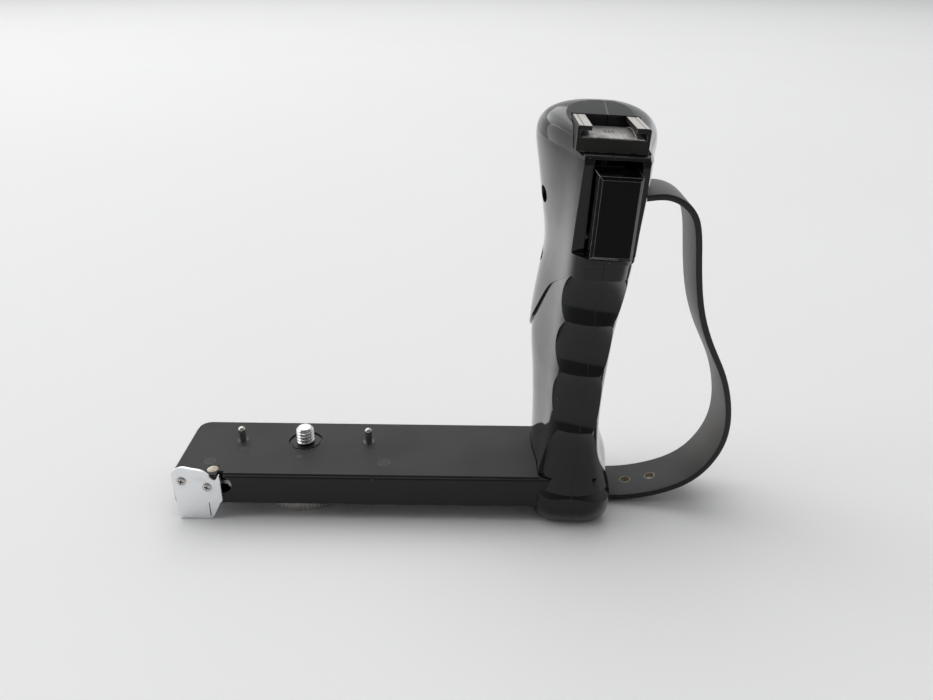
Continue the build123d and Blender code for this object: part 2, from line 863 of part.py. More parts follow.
def grip_crank():
    """The bell crank that turns the link's drop into the rod's pull."""
    end = crank_plate_y + eye_thickness
    hub = (crank_x, crank_height, hub_radius)
    body = link_plate((hub, (link_x, crank_height, eye_radius)), crank_plate_y, end)
    body = body + link_plate((hub, (crank_x, rod_height, eye_radius)), crank_plate_y, end)
    hub_end = crank_hub_y + crank_hub_length
    body = body + along_y(hub_radius, crank_x, crank_hub_y, hub_end, crank_height)
    body = body + along_y(link_pin_radius, link_x, end, end + pin_length, crank_height)
    rod_end = rod_y - eye_thickness / 2 - side_gap
    body = body + along_y(link_pin_radius, crank_x, rod_end, crank_plate_y, rod_height)
    return body - along_y(pivot_radius + running_gap, crank_x, crank_hub_y, hub_end, crank_height)


def end_lever():
    """The lever at the bar's left end: the rod swings it and its tip lifts the release stud."""
    end = lever_plate_y + eye_thickness
    hub = (lever_x, crank_height, hub_radius)
    body = link_plate((hub, (lever_x, rod_height, eye_radius)), lever_plate_y, end)
    body = body + along_y(hub_radius, lever_x, lever_hub_y, lever_plate_y, crank_height)
    root = (lever_x, crank_height, lever_tip_radius)
    tip = (lever_x - release_arm, crank_height, lever_tip_radius)
    body = body + link_plate((root, tip), lever_tip_y, lever_tip_y + eye_thickness)
    rod_end = rod_y + eye_thickness / 2 + side_gap
    body = body + along_y(link_pin_radius, lever_x, end, rod_end, rod_height)
    return body - along_y(pivot_radius + running_gap, lever_x, lever_hub_y, end, crank_height)


def pull_rod():
    half = eye_thickness / 2
    body = along_x(rod_radius, lever_x, crank_x, rod_y, rod_height)
    for x in (lever_x, crank_x):
        body = body + along_y(eye_radius, x, rod_y - half, rod_y + half, rod_height)
    for x in (lever_x, crank_x):
        body = body - along_y(rod_eye_hole, x, rod_y - hub_radius, rod_y + hub_radius, rod_height)
    return body


def trigger_link():
    """The rod from the trigger's arm down to the crank, with the spring's collar."""
    half = eye_thickness / 2
    x, y, top = trigger_side, link_y, trigger_pivot_z
    body = upright(link_radius, x, y, link_low, top)
    body = body + along_x(hub_radius, x - half, x + half, y, top)
    body = body + along_y(hub_radius, x, y - half, y + half, link_low)
    body = body + upright(collar_radius, x, y, collar_z, collar_z + collar_height)
    body = body - along_x(trigger_eye_hole, x - hub_radius, x + hub_radius, y, top)
    body = body - along_y(crank_eye_hole, x, y - hub_radius, y + hub_radius, link_low)
    return on_handle(body)


def return_spring():
    height = collar_z - spring_low - spring_wire
    pitch = height / spring_turns
    path = Pos(trigger_side, link_y, spring_low) * Helix(pitch, height, spring_radius)
    face = Plane(origin=path @ 0, z_dir=path % 0) * RegularPolygon(spring_wire, spring_wire_sides)
    print("spring gap", round(pitch - 2 * spring_wire, 2))
    return on_handle(sweep(face, path=path))


def link_pin():
    half = trigger_cheek_gap / 2 + trigger_cheek
    return on_handle(along_x(link_pin_radius, trigger_side - half, trigger_side + half,
                             link_y, trigger_pivot_z))


def trigger():
    """The finger piece: a tapered block, hollow behind, with two cheeks that reach to the link."""
    tall = trigger_high - trigger_low
    front = Plane(origin=(trigger_side, -trigger_front, (trigger_high + trigger_low) / 2),
                  x_dir=(1, 0, 0), z_dir=(0, -1, 0))
    depth = trigger_front - trigger_back
    body = extrude(front * Rectangle(trigger_width, tall), amount=-depth, taper=-trigger_draft)
    body = body & span(-beyond, beyond, -beyond, 0, trigger_low, trigger_high)
    body = chamfer(body.edges().group_by(Axis.Y)[0], trigger_edge)
    half = trigger_width / 2 - trigger_wall
    body = body - span(trigger_side - half, trigger_side + half, trigger_wall - trigger_front,
                       -trigger_back, trigger_low + 2 * trigger_edge + trigger_wall,
                       trigger_high - trigger_wall)
    bar = Plane(origin=(trigger_side, 0, 0), x_dir=(0, 1, 0), z_dir=(1, 0, 0))
    ends = [(trigger_pivot_y, hub_radius), (link_y, eye_radius)]
    edges = [edge for y, r in ends for edge in (Pos(y, trigger_pivot_z) * Circle(r)).edges()]
    cheek = extrude(bar * make_hull(edges), amount=trigger_cheek)
    gap = trigger_cheek_gap / 2
    body = body + Pos(gap, 0, 0) * cheek + Pos(-gap - trigger_cheek, 0, 0) * cheek
    body = body + along_x(hub_radius, trigger_side - half, trigger_side + half,
                          trigger_pivot_y, trigger_pivot_z)
    body = body - along_x(trigger_pin_radius + running_gap, -beyond, beyond,
                          trigger_pivot_y, trigger_pivot_z)
    body = body - along_x(link_pin_radius, -beyond, beyond, link_y, trigger_pivot_z)
    slot = span(trigger_side - gap, trigger_side + gap, link_y - hub_radius - eye_radius, 0,
                trigger_low, trigger_high)
    return on_handle(body - slot)


def trigger_pin():
    return on_handle(trigger_pin_shape())


# Core plate and its fixings
def core_plate():
    """The steel plate on the seam that carries the load from the shoe to the bar."""
    seat = shoe_floor - shoe_base - roof
    body = span(-core_half, core_half, -core_front, core_back, 0, seat)
    middle = (core_back - core_front) / 2
    for low in core_slot_places:
        slot = Pos(0, middle, low) * Rot(0, 90, 0) * SlotOverall(core_slot_length, core_slot_width)
        body = body - extrude(slot, amount=core_half, both=True)
    lug_low = spring_low - lug_thickness - spring_wire
    body = body + span(-core_half, trigger_side + lug_reach, link_y - lug_reach, -core_front,
                       lug_low, lug_low + lug_thickness)
    body = body - upright(lug_hole_radius, trigger_side, link_y, 0, seat)
    body = body + span(shoe_side - core_head_half, shoe_side + core_head_half, -core_head_front,
                       core_back, seat - core_head_thickness, seat)
    for x, y, seat_x in shell_screw_places:
        body = body - along_x(shell_screw_radius + seat_gap, -core_half, core_half, x, y)
    for x in shoe_screw_sides():
        body = body - upright(shoe_screw_radius, x, shoe_screw_y, seat - overrun, seat)
    body = on_handle(body)
    foot = span(core_foot_left, bar_right, -core_foot_front, core_back, plate_top_z,
                plate_top_z + core_foot_thickness)
    under = span(0, handle_height, -beyond, beyond, -table_drop, plate_top_z)
    body = body - under + foot
    for x, y in bolt_places():
        body = body - upright(bolt_radius, x, y, -bar_drop, handle_back)
    return body


def core_bolts():
    bolts = []
    top = plate_top_z + core_foot_thickness
    for x, y in bolt_places():
        bolt = upright(bolt_head_radius, x, y, top, top + bolt_head)
        bolts.append(bolt + upright(bolt_radius, x, y, under_top - nut_height - sheet / 2, top))
    return Compound(bolts)


def core_nuts():
    nuts = []
    for x, y in bolt_places():
        nut = Pos(x, y, under_top - nut_height) * RegularPolygon(nut_width / 2, 6, major_radius=False)
        nuts.append(extrude(nut, amount=nut_height) - upright(bolt_radius, x, y, -bar_drop, 0))
    return Compound(nuts)


def shell_screws():
    screws = []
    for y, z, seat in shell_screw_places:
        head = along_x(shell_screw_head_radius, -seat - shell_screw_head, -seat, y, z)
        screws.append(on_handle(head + along_x(shell_screw_radius, -seat, shell_screw_reach, y, z)))
    return Compound(screws)


# Accessory shoe
def shoe_screw_sides():
    half = shoe_screw_spacing / 2
    return [shoe_side - half, shoe_side + half]


def accessory_shoe():
    """A cast block with two lipped rails that take an accessory's foot."""
    low, floor = shoe_floor - shoe_base, shoe_floor
    under_lip = floor + shoe_slot_height
    top = under_lip + shoe_lip
    back = shoe_length - shoe_front
    half = shoe_width / 2
    body = span(shoe_side - half, shoe_side + half, -shoe_front, back, low, top)
    body = chamfer(body.edges().group_by(Axis.Z)[-1].filter_by(Axis.Y), shoe_chamfer)
    half = shoe_slot_width / 2
    body = body - span(shoe_side - half, shoe_side + half, -beyond, beyond, floor, under_lip)
    half = shoe_lip_gap / 2
    body = body - span(shoe_side - half, shoe_side + half, -beyond, beyond, under_lip, top)
    for x in shoe_screw_sides():
        body = body - upright(shoe_screw_radius, x, shoe_screw_y, low, floor)
        body = body - upright(shoe_screw_head_radius, x, shoe_screw_y, floor - shoe_screw_head, floor)
    return on_handle(body)


def shoe_spring():
    """A thin leaf on the shoe's floor whose two side arms bow up under the lips."""
    back = shoe_length - shoe_front - seat_gap
    front = leaf_inset - shoe_front
    half = shoe_slot_width / 2 - leaf_inset
    body = span(shoe_side - half, shoe_side + half, front, back, shoe_floor,
                shoe_floor + leaf_thickness)
    middle = (front + back) / 2
    base = shoe_floor
    rise = base + leaf_rise
    lower = ThreePointArc((front, base), (middle, rise), (back, base))
    upper = ThreePointArc((front, base + leaf_thickness), (middle, rise + leaf_thickness),
                          (back, base + leaf_thickness))
    face = make_face([lower, upper, Line(lower @ 0, upper @ 0), Line(lower @ 1, upper @ 1)])
    side = Plane(origin=(shoe_side - half, 0, 0), x_dir=(0, 1, 0), z_dir=(1, 0, 0))
    arm = extrude(side * face, amount=leaf_arm_width)
    body = body + arm + Pos(2 * half - leaf_arm_width, 0, 0) * arm
    return on_handle(body)


def shoe_screws():
    screws = []
    floor = shoe_floor
    for x in shoe_screw_sides():
        head = upright(shoe_screw_head_radius, x, shoe_screw_y, floor - shoe_screw_head, floor)
        shank = upright(shoe_screw_radius, x, shoe_screw_y, floor - shoe_screw_reach, floor)
        screws.append(on_handle(head + shank))
    return Compound(screws)


# Strap
strap_reach = 48.5
strap_rise = 114.0
# The strap's middle line from the head to the foot: shares of its reach past the bar and of its rise.
strap_shares = (
    (0.247, 0.985), (0.381, 1.003), (0.485, 0.980), (0.557, 0.943), (0.604, 0.899), (0.645, 0.825),
    (0.666, 0.754), (0.713, 0.654), (0.810, 0.548), (0.907, 0.461), (0.973, 0.377), (1.000, 0.307),
    (0.990, 0.228), (0.928, 0.158), (0.804, 0.092), (0.619, 0.048), (0.433, 0.0263),
    (0.300, 0.0192),
)
strap_flat_x = 108.6
strap_steps = 36


def strap_line():
    eye_x, eye_z = handle_point(strap_pin_side, strap_pin_height)
    radius = strap_pin_radius + soft_gap + strap_thickness / 2
    places = [(strap_root_x + a * strap_reach, b * strap_rise - table_drop) for a, b in strap_shares]
    return Spline((eye_x, eye_z - radius), *places, (strap_flat_x, strap_low_z))


def strap_band(gap):
    """The looped part of the strap as a chain of arcs, grown by a gap on every side."""
    line = strap_line()
    half = strap_thickness / 2 + gap
    sides = ([], [])
    for step in range(strap_steps + 1):
        place, along = line @ (step / strap_steps), line % (step / strap_steps)
        for side, sign in zip(sides, (1, -1)):
            side.append((place.X - sign * half * along.Y, place.Y + sign * half * along.X))
    edges = [Line(sides[0][0], sides[1][0]), Line(sides[0][-1], sides[1][-1])]
    for side in sides:
        for step in range(0, strap_steps, 2):
            edges.append(ThreePointArc(*side[step:step + 3]))
    width = strap_width + 2 * gap
    back = front_face(strap_middle_y + width / 2)
    return extrude(back * make_face(edges), amount=width)


def strap():
    """One flat band: an eye round its pin in the head, the loop for the hand and a flat tail."""
    half = strap_thickness / 2
    y0, y1 = strap_middle_y - strap_width / 2, strap_middle_y + strap_width / 2
    tail = span(strap_end_x, strap_flat_x, y0, y1, strap_low_z - half, strap_low_z + half)
    eye_x, eye_z = handle_point(strap_pin_side, strap_pin_height)
    bore = strap_pin_radius + soft_gap
    body = strap_band(0) + tail + along_y(bore + strap_thickness, eye_x, y0, y1, eye_z)
    body = body - along_y(bore, eye_x, y0, y1, eye_z)
    for hole in range(strap_holes):
        x = strap_screw_x + hole * strap_hole_spacing
        body = body - upright(strap_hole_radius, x, strap_middle_y, -table_drop, -cover_thickness)
    return body


def strap_pin():
    return on_handle(strap_pin_shape())


def strap_screw():
    low = seat_gap - table_drop
    body = upright(strap_screw_head_radius, strap_screw_x, strap_middle_y, low, low + strap_screw_head)
    top = cover_thickness - bar_drop + boss_height
    return body + upright(strap_screw_radius, strap_screw_x, strap_middle_y, low, top)


nodes = {
    "bar_channel": bar_channel, "camera_pad": camera_pad, "bar_cover": bar_cover,
    "cover_posts": cover_posts, "cover_screws": cover_screws, "screw_bush": screw_bush,
    "camera_screw": camera_screw, "retaining_ring": retaining_ring, "thumbwheel": thumbwheel,
    "locating_pins": locating_pins, "end_plate": end_plate, "end_plate_screws": end_plate_screws,
    "release_guide": release_guide, "release_pin": release_pin, "end_lever": end_lever,
    "lever_bracket": lever_bracket, "lever_pivot": lever_pivot, "pull_rod": pull_rod,
    "grip_crank": grip_crank, "crank_bracket": crank_bracket, "crank_pivot": crank_pivot,
    "bracket_rivets": bracket_rivets, "trigger_link": trigger_link, "return_spring": return_spring,
    "link_pin": link_pin, "trigger": trigger, "trigger_pin": trigger_pin, "core_plate": core_plate,
    "core_bolts": core_bolts, "core_nuts": core_nuts, "grip_shell_left": lambda: shell(-1),
    "grip_shell_right": lambda: shell(1), "shell_screws": shell_screws,
    "accessory_shoe": accessory_shoe, "shoe_spring": shoe_spring, "shoe_screws": shoe_screws,
    "strap": strap, "strap_pin": strap_pin, "strap_screw": strap_screw,
}
for node, make in nodes.items():
    solid = save(make(), node)
    print(node, len(solid.solids()), round(solid.volume, 1))
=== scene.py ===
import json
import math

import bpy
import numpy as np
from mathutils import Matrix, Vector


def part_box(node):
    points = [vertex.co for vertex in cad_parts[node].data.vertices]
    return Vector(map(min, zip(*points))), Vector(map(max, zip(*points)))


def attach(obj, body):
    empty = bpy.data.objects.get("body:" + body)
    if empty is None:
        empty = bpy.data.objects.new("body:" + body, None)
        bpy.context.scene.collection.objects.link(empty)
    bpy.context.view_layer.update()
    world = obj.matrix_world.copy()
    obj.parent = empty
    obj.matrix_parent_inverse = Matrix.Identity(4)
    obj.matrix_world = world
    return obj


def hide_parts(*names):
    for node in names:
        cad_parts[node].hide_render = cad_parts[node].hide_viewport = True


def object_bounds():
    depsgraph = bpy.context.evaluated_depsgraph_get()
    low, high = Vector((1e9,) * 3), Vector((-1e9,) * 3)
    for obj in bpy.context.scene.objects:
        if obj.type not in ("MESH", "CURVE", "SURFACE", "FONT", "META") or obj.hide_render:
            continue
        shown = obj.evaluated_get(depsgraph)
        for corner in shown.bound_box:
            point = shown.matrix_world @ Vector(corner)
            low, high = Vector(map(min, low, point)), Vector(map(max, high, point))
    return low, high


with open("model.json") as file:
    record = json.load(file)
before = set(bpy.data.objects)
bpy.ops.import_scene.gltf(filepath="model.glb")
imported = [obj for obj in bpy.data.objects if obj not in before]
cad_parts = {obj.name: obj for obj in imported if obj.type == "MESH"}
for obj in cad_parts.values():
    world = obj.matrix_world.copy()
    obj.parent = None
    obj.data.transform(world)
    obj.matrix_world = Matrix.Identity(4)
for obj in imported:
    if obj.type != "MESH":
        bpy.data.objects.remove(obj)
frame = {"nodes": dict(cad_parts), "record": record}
solid_low, solid_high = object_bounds()

# %% [markdown]
# # Camera hand grip
# A flat bar goes under a camera, and a hollow moulded handle stands at its right end with a
# trigger, an accessory shoe and a strap for the back of the hand. The solids come in as a fixed
# frame, already at their real size and in metres. This lesson gives them their finishes, and it
# replaces the few pieces that need finer shapes than a solid model has: the strap, the camera
# screw and the small screws.

mm = 0.001

# %% [markdown]
# ## The camera
# The photograph was taken from a little above and from the bar's side, with a lens a bit wider
# than normal. The eye's place and the three angles were worked out from the bar's corners, the
# camera screw and the pins, so they are real distances from the camera screw. Three plain vectors
# make the camera's own axes, which is easier to follow than a rotation in three Euler angles.

# %% Photo camera
eye = Vector((60.61, -246.89, 159.39)) * mm
look_down = 0.4581
look_left = 0.0089
tilt = 0.0082
lens_mm = 30.87

level = Vector((math.cos(look_left), math.sin(look_left), 0))
forward = Vector((-math.sin(look_left), math.cos(look_left), 0))
upward = Vector((0, 0, 1))
ahead = forward * math.cos(look_down) - upward * math.sin(look_down)
above = forward * math.sin(look_down) + upward * math.cos(look_down)
right = level * math.cos(tilt) + above * math.sin(tilt)
top = above * math.cos(tilt) - level * math.sin(tilt)

lens = bpy.data.cameras.new("photo_camera")
lens.lens = lens_mm
lens.sensor_width = 36
lens.clip_start = 0.01
camera = bpy.data.objects.new("photo_camera", lens)
camera.matrix_world = Matrix.Translation(eye) @ Matrix((right, top, -ahead)).transposed().to_4x4()
bpy.context.collection.objects.link(camera)
bpy.context.scene.camera = camera
print("camera stands", round(eye.length, 3), "m from the camera screw")

# %% [markdown]
# ## Arithmetic on sockets
# A finish is a small sum: so much grain, times so much wear, plus the base colour. It could be
# drawn by hand as a web of nodes, but that is hard to read and to change. So one small class
# stands for an output socket and lets Python's own signs add the Math nodes. A number may stand
# on either side, so 1 - mask works as it reads.

# %% Sockets that add up
def maths(operation):
    """The method for one Math node, with the wire first."""
    def method(self, other=0.0):
        return self.web.put("ShaderNodeMath", {0: self, 1: other}, operation=operation)
    return method


def flipped(operation):
    """The same with the wire second, for signs that have a number on their left."""
    def method(self, other):
        return self.web.put("ShaderNodeMath", {0: other, 1: self}, operation=operation)
    return method


class Wire:
    """The output of a node, ready for sums."""

    def __init__(self, web, socket):
        self.web, self.socket = web, socket

    __add__, __radd__ = maths("ADD"), flipped("ADD")
    __sub__, __rsub__ = maths("SUBTRACT"), flipped("SUBTRACT")
    __mul__, __rmul__ = maths("MULTIPLY"), flipped("MULTIPLY")
    over, under = maths("GREATER_THAN"), maths("LESS_THAN")
    least, most = maths("MINIMUM"), maths("MAXIMUM")

    def __abs__(self):
        return self.web.put("ShaderNodeMath", {0: self}, operation="ABSOLUTE")

    def take(self, output):
        """Another output of the same node."""
        return Wire(self.web, self.socket.node.outputs[output])

    def ramp(self, start, end):
        """Nought up to start, one from end on, and a smooth rise between them."""
        values = {"Value": self, "From Min": start, "From Max": end}
        return self.web.put("ShaderNodeMapRange", values, interpolation_type="SMOOTHSTEP")


# %% [markdown]
# ## One method for every node
# Everything that is not arithmetic comes from one method, put. It adds a node, sets it up and
# fills its sockets, with a number or with a wire from another node. Some sockets only exist after
# a setting has been made, so the settings come first. Colours are blended by a Mix node, because
# a Math node would turn them grey. Materials and the world are such webs alike.

# %% Node web
class Web:
    """The nodes of one material, or of the world."""

    def __init__(self, tree):
        self.tree = tree
        tree.nodes.clear()

    def put(self, kind, values=(), output=0, **settings):
        """One node: its settings first, then the values or wires of its sockets."""
        node = self.tree.nodes.new(kind)
        for setting, value in settings.items():
            setattr(node, setting, value)
        for socket, value in dict(values).items():
            if isinstance(value, Wire):
                self.tree.links.new(value.socket, node.inputs[socket])
            else:
                node.inputs[socket].default_value = value
        return Wire(self, node.outputs[output] if node.outputs else None)

    def mix(self, first, second, factor):
        """The first colour where the factor is nought and the second where it is one."""
        values = {0: factor, 6: first, 7: second}
        return self.put("ShaderNodeMix", values, 2, data_type="RGBA")


# %% [markdown]
# ## One finish at a time
# Each finish is a Principled shader with constants on its own sockets and sums behind the few
# that change over the surface. Flat colours would be quicker, but a used object is never one
# colour. All patterns read object coordinates. The nodes' objects stand at the origin, so these
# coordinates are metres in the grip's own frame, and a noise scale of 1000 gives grains of about
# a millimetre. An unwrapped texture would need seams, and these patterns need none.
#
# Real edges are never perfectly sharp. They could be rounded in the mesh, at the cost of many
# small faces. A Bevel node bends the normal near an edge instead, which catches the light as a
# small radius does, and the angle between the bent and the true normal marks where paint wears
# first. The polished plastic uses the same mark for a painted highlight, a lighter colour along
# its edges.

# %% Finish class
bevel_samples = 6
edge_turn = (0.02, 0.22)


class Finish(Web):
    def __init__(self, name, **constants):
        self.material = bpy.data.materials.new(name)
        self.material.use_nodes = True
        super().__init__(self.material.node_tree)
        values = {socket.replace("_", " "): value for socket, value in constants.items()}
        self.shader = self.put("ShaderNodeBsdfPrincipled", values)
        self.put("ShaderNodeOutputMaterial", {"Surface": self.shader})
        self.place = self.put("ShaderNodeTexCoord").take("Object")
        self.facing = self.put("ShaderNodeNewGeometry").take("Normal")

    def feed(self, **wires):
        """Wires into the shader's own sockets."""
        inputs = self.shader.socket.node.inputs
        for socket, wire in wires.items():
            self.tree.links.new(wire.socket, inputs[socket.replace("_", " ")])

    def noise(self, scale, detail=3.0, stretch=(1, 1, 1)):
        """Cloudy grain about one half, drawn out along an axis where the stretch is small."""
        where = self.put("ShaderNodeVectorMath", {0: self.place, 1: stretch}, operation="MULTIPLY")
        return self.put("ShaderNodeTexNoise", {"Vector": where, "Scale": scale, "Detail": detail})

    def along(self, direction):
        """How far a point lies along a direction, in metres."""
        values = {0: self.place, 1: direction}
        return self.put("ShaderNodeVectorMath", values, "Value", operation="DOT_PRODUCT")

    def looks(self, axis):
        """How much the surface faces along an axis, from minus one to one."""
        return self.put("ShaderNodeSeparateXYZ", {0: self.facing}).take(axis)

    def from_point(self, point, squash=(1, 1, 1)):
        """The distance from a point, measured shorter or longer by axis."""
        shift = self.put("ShaderNodeVectorMath", {0: self.place, 1: point}, operation="SUBTRACT")
        shift = self.put("ShaderNodeVectorMath", {0: shift, 1: squash}, operation="MULTIPLY")
        return self.put("ShaderNodeVectorMath", {0: shift}, "Value", operation="LENGTH")

    def specks(self, scale, size, chance):
        """Round specks, one to a cell at most, in a share of the cells."""
        cells = self.put("ShaderNodeTexVoronoi", {"Vector": self.place, "Scale": scale})
        lucky = self.put("ShaderNodeSeparateColor", {0: cells.take("Color")}).under(chance)
        return (1 - cells.take("Distance").ramp(size / 2, size)) * lucky

    def sideways(self, start, end):
        """Nought where the surface faces the eye and one where it is seen nearly edge on."""
        return self.put("ShaderNodeLayerWeight", {"Blend": 0.5}, "Facing").ramp(start, end)

    def soften(self, radius, height=None, depth=0.0):
        """Rounds the edges, lays the bumps on top and returns how near to an edge a point is."""
        bent = self.put("ShaderNodeBevel", {"Radius": radius}, samples=bevel_samples)
        turn = self.put("ShaderNodeVectorMath", {0: bent, 1: self.facing}, "Value",
                        operation="DOT_PRODUCT")
        if height is None:
            self.feed(Normal=bent)
        else:
            values = {"Height": height, "Distance": depth, "Strength": 1.0, "Normal": bent}
            self.feed(Normal=self.put("ShaderNodeBump", values))
        return (1 - turn).ramp(*edge_turn)


# %% [markdown]
# ## Colours as numbers
# Blender's colours are linear: a surface that sends back a fifth of the light is 0.20, though it
# looks like a middle grey. Most of this object is grey, so a grey is one number and a little
# warmth, and only the coloured ones are written out. All finishes go in one list by name.

# %% Greys
def grey(value, warmth=0.0):
    """A near grey as a colour with an alpha, warmer in the red or cooler in the blue."""
    return (value * (1 + warmth), value, value * (1 - warmth), 1.0)


dust_grey = grey(0.20, 0.05)
bare_sheet = grey(0.22, 0.04)
# Pale metal for the shoe: a painted reflection on its rail tops, and wear on its edges.
lit_top_and_worn_metal = (0.56, 0.53, 0.50, 1)
clean_cream, soiled_cream = (0.62, 0.55, 0.43, 1), (0.30, 0.25, 0.18, 1)
# Tan for the strap's hole rims: partly the vinyl's raw core, partly painted light.
tan_core_and_painted_light = (0.62, 0.54, 0.40, 1)
finishes = {}
print("a fifth of the light as a colour", grey(0.20))

# %% [markdown]
# ## The handle's polished plastic
# The two shells are black moulded plastic with a high polish. There is almost no colour of its
# own: all that shows is the room in the gloss, so the shape of the reflections does the work,
# besides a painted highlight, a lighter colour along the rounded edges, which is strongest on the
# trigger.
# What makes it look used is uneven gloss: finger grease in soft patches, fine wiping marks and a
# little dust. The halves meet in a hairline joint down the middle, which leans with the handle,
# so the joint is a dark line at a fixed distance from a leaning plane, pressed in a little by the
# bump.
#
# Seen square on, this plastic mirrors only a few hundredths of the light, and the lobes and the
# trigger stay nearly black. Seen edge on, the flank mirrors half of it and turns white. A clear
# coat that comes in with the angle makes that jump as strong as it is in the photograph. The
# crown has lost that shine under the palm, so the coat fades where the plastic looks up, and
# lower down, where the hand rubs.

# %% Grip plastic
handle_x = 94.9 * mm
lean = math.radians(2.6)


def beside_handle(finish):
    """How far to the right a point is of the handle's leaning middle plane."""
    return finish.along((math.cos(lean), 0, -math.sin(lean))) - handle_x * math.cos(lean)


def polished(name, base, gloss, seam, rim_with_painted_light, rounding):
    finish = Finish(name, IOR=1.5, Specular_IOR_Level=gloss, Coat_IOR=2.3, Coat_Roughness=0.06)
    grease = finish.noise(55, 4.0).ramp(0.42, 0.72)
    wiping = finish.noise(260, 2.0, (1, 1, 0.12)).ramp(0.45, 0.75)
    dust = finish.specks(420, 0.10, 0.12)
    ripple = finish.noise(38, 2.0) * 0.7 + finish.noise(1900, 2.0) * 0.012
    palmed = finish.looks("Z").ramp(0.68, 0.92)
    high_up = finish.along((0, 0, 1)).ramp(25 * mm, 78 * mm)
    colour = finish.mix(base, dust_grey, dust * 0.55)
    if seam:
        joint = 1 - abs(beside_handle(finish)).ramp(0.08 * mm, 0.26 * mm)
        ripple = ripple - joint * 0.3
    edge = finish.soften(rounding, ripple, 0.12 * mm)
    # Painted highlight: the edges take the lighter rim grey.
    colour = finish.mix(colour, grey(rim_with_painted_light, 0.02), edge * 0.6)
    if seam:
        colour = finish.mix(colour, grey(0.001), joint)
    finish.feed(Base_Color=colour, Roughness=0.07 + grease * 0.07 + wiping * 0.05 + dust * 0.4,
                Coat_Weight=finish.sideways(0.30, 0.62) * (1 - grease * 0.2) * (1 - palmed * 0.8)
                * (0.56 + high_up * 0.44))
    return finish


# Both rim greys are painted highlights, and the trigger's is far lighter than its black.
finishes["grip_plastic"] = polished("grip_plastic", grey(0.0085, -0.04), gloss=0.30, seam=True,
                                    rim_with_painted_light=0.07, rounding=0.35 * mm)
finishes["trigger_plastic"] = polished("trigger_plastic", grey(0.0022), gloss=0.10, seam=False,
                                       rim_with_painted_light=0.75, rounding=0.5 * mm)
print("polished finishes", list(finishes))

# %% [markdown]
# ## The bar's enamel
# The bar is folded sheet under a half matt black enamel. Enamel has a faint orange peel, and it
# is thinnest on the folded edges, where it has polished to a grey line. The worn line could be
# painted by hand along each edge. Here the soften method finds the edges by itself, and noise
# breaks the line, so that the same recipe serves the cover, the bush and the guide too.

# %% Bar enamel
def enamel(name, base, rough):
    finish = Finish(name, IOR=1.5, Specular_IOR_Level=0.28)
    peel = finish.noise(700, 2.0)
    handling = finish.noise(70, 4.0).ramp(0.40, 0.75)
    nicks = finish.specks(300, 0.12, 0.06)
    edge = finish.soften(0.5 * mm, peel * 0.5 - nicks * 0.5, 0.05 * mm)
    worn = edge * finish.noise(240, 3.0).ramp(0.40, 0.62)
    colour = finish.mix(base, grey(base[1] * 1.9, 0.05), handling * 0.35)
    colour = finish.mix(colour, bare_sheet, (worn * 0.8).most(nicks * 0.4))
    finish.feed(Base_Color=colour, Roughness=rough + handling * 0.10 - peel * 0.06 - worn * 0.08)
    return finish


for name, base, rough in (("bar_paint", grey(0.0095, 0.01), 0.36),
                          ("cover_paint", grey(0.012, 0.01), 0.42),
                          ("bush_steel", grey(0.006), 0.30),
                          ("guide_plastic", grey(0.010), 0.45)):
    finishes[name] = enamel(name, base, rough)
print("finishes so far", list(finishes))

# %% [markdown]
# ## The camera's seat
# The face that the camera sits on is a separate thin sheet of charcoal plastic, flatter and
# warmer than the enamel. It has a handful of dull ring marks from screws and feet. Random marks
# would do on a table, but these were made by real cameras, so each one is placed where it is on
# the real bar: a place, a radius, and a little noise so that no ring is a perfect circle.

# %% Camera seat
mark_places = ((-30.9, -14.0, 2.2), (30.0, -13.5, 2.4), (-21.2, -5.8, 1.3), (-0.4, -10.5, 1.1),
               (-28.5, 13.0, 1.6), (32.5, 12.5, 1.6))


def camera_face():
    finish = Finish("bar_face", IOR=1.45)
    grain = finish.noise(2600, 2.0)
    cloud = finish.noise(45, 5.0).ramp(0.35, 0.75)
    dust = finish.specks(330, 0.09, 0.16)
    rings = 0.0
    for x, y, radius in mark_places:
        away = finish.from_point((x * mm, y * mm, 0)) + finish.noise(500, 3.0) * 0.9 * mm
        ring = 1 - abs(away - radius * mm).ramp(0.15 * mm, 0.6 * mm)
        middle = 1 - away.ramp(0.5 * radius * mm, radius * mm)
        rings = (ring * 0.5).most(middle * 0.35) + rings
    edge = finish.soften(0.25 * mm, grain * 0.7 + rings * 0.4, 0.03 * mm)
    colour = finish.mix(grey(0.0125, 0.04), grey(0.021, 0.04), cloud * 0.6)
    pale = (rings * 0.5 * finish.noise(420, 4.0)).most(dust * 0.5)
    colour = finish.mix(colour, grey(0.16, 0.08), pale)
    colour = finish.mix(colour, grey(0.17, 0.03), edge * 0.6)
    finish.feed(Base_Color=colour, Roughness=0.52 + cloud * 0.10 + grain * 0.08 - rings * 0.12)
    return finish


finishes["bar_face"] = camera_face()
print("marks on the camera's seat", len(mark_places))

# %% [markdown]
# ## Bright metals
# Steel and aluminium differ less in colour than in how they were worked. The end plate is fine
# satin, with grain one way. The wheel is turned, so its grain runs round the screw's axis, and
# dirt sits in the knurl. Turned pins and screws are smoother. Six materials by hand would drift
# apart, so one function makes them all from a row of a table: a shade, a roughness and the
# direction in which the grain is drawn out, as a stretch of the noise. The pins' collars lie
# flush in the bar and are blacked, so the pins' metal starts just above the seat.

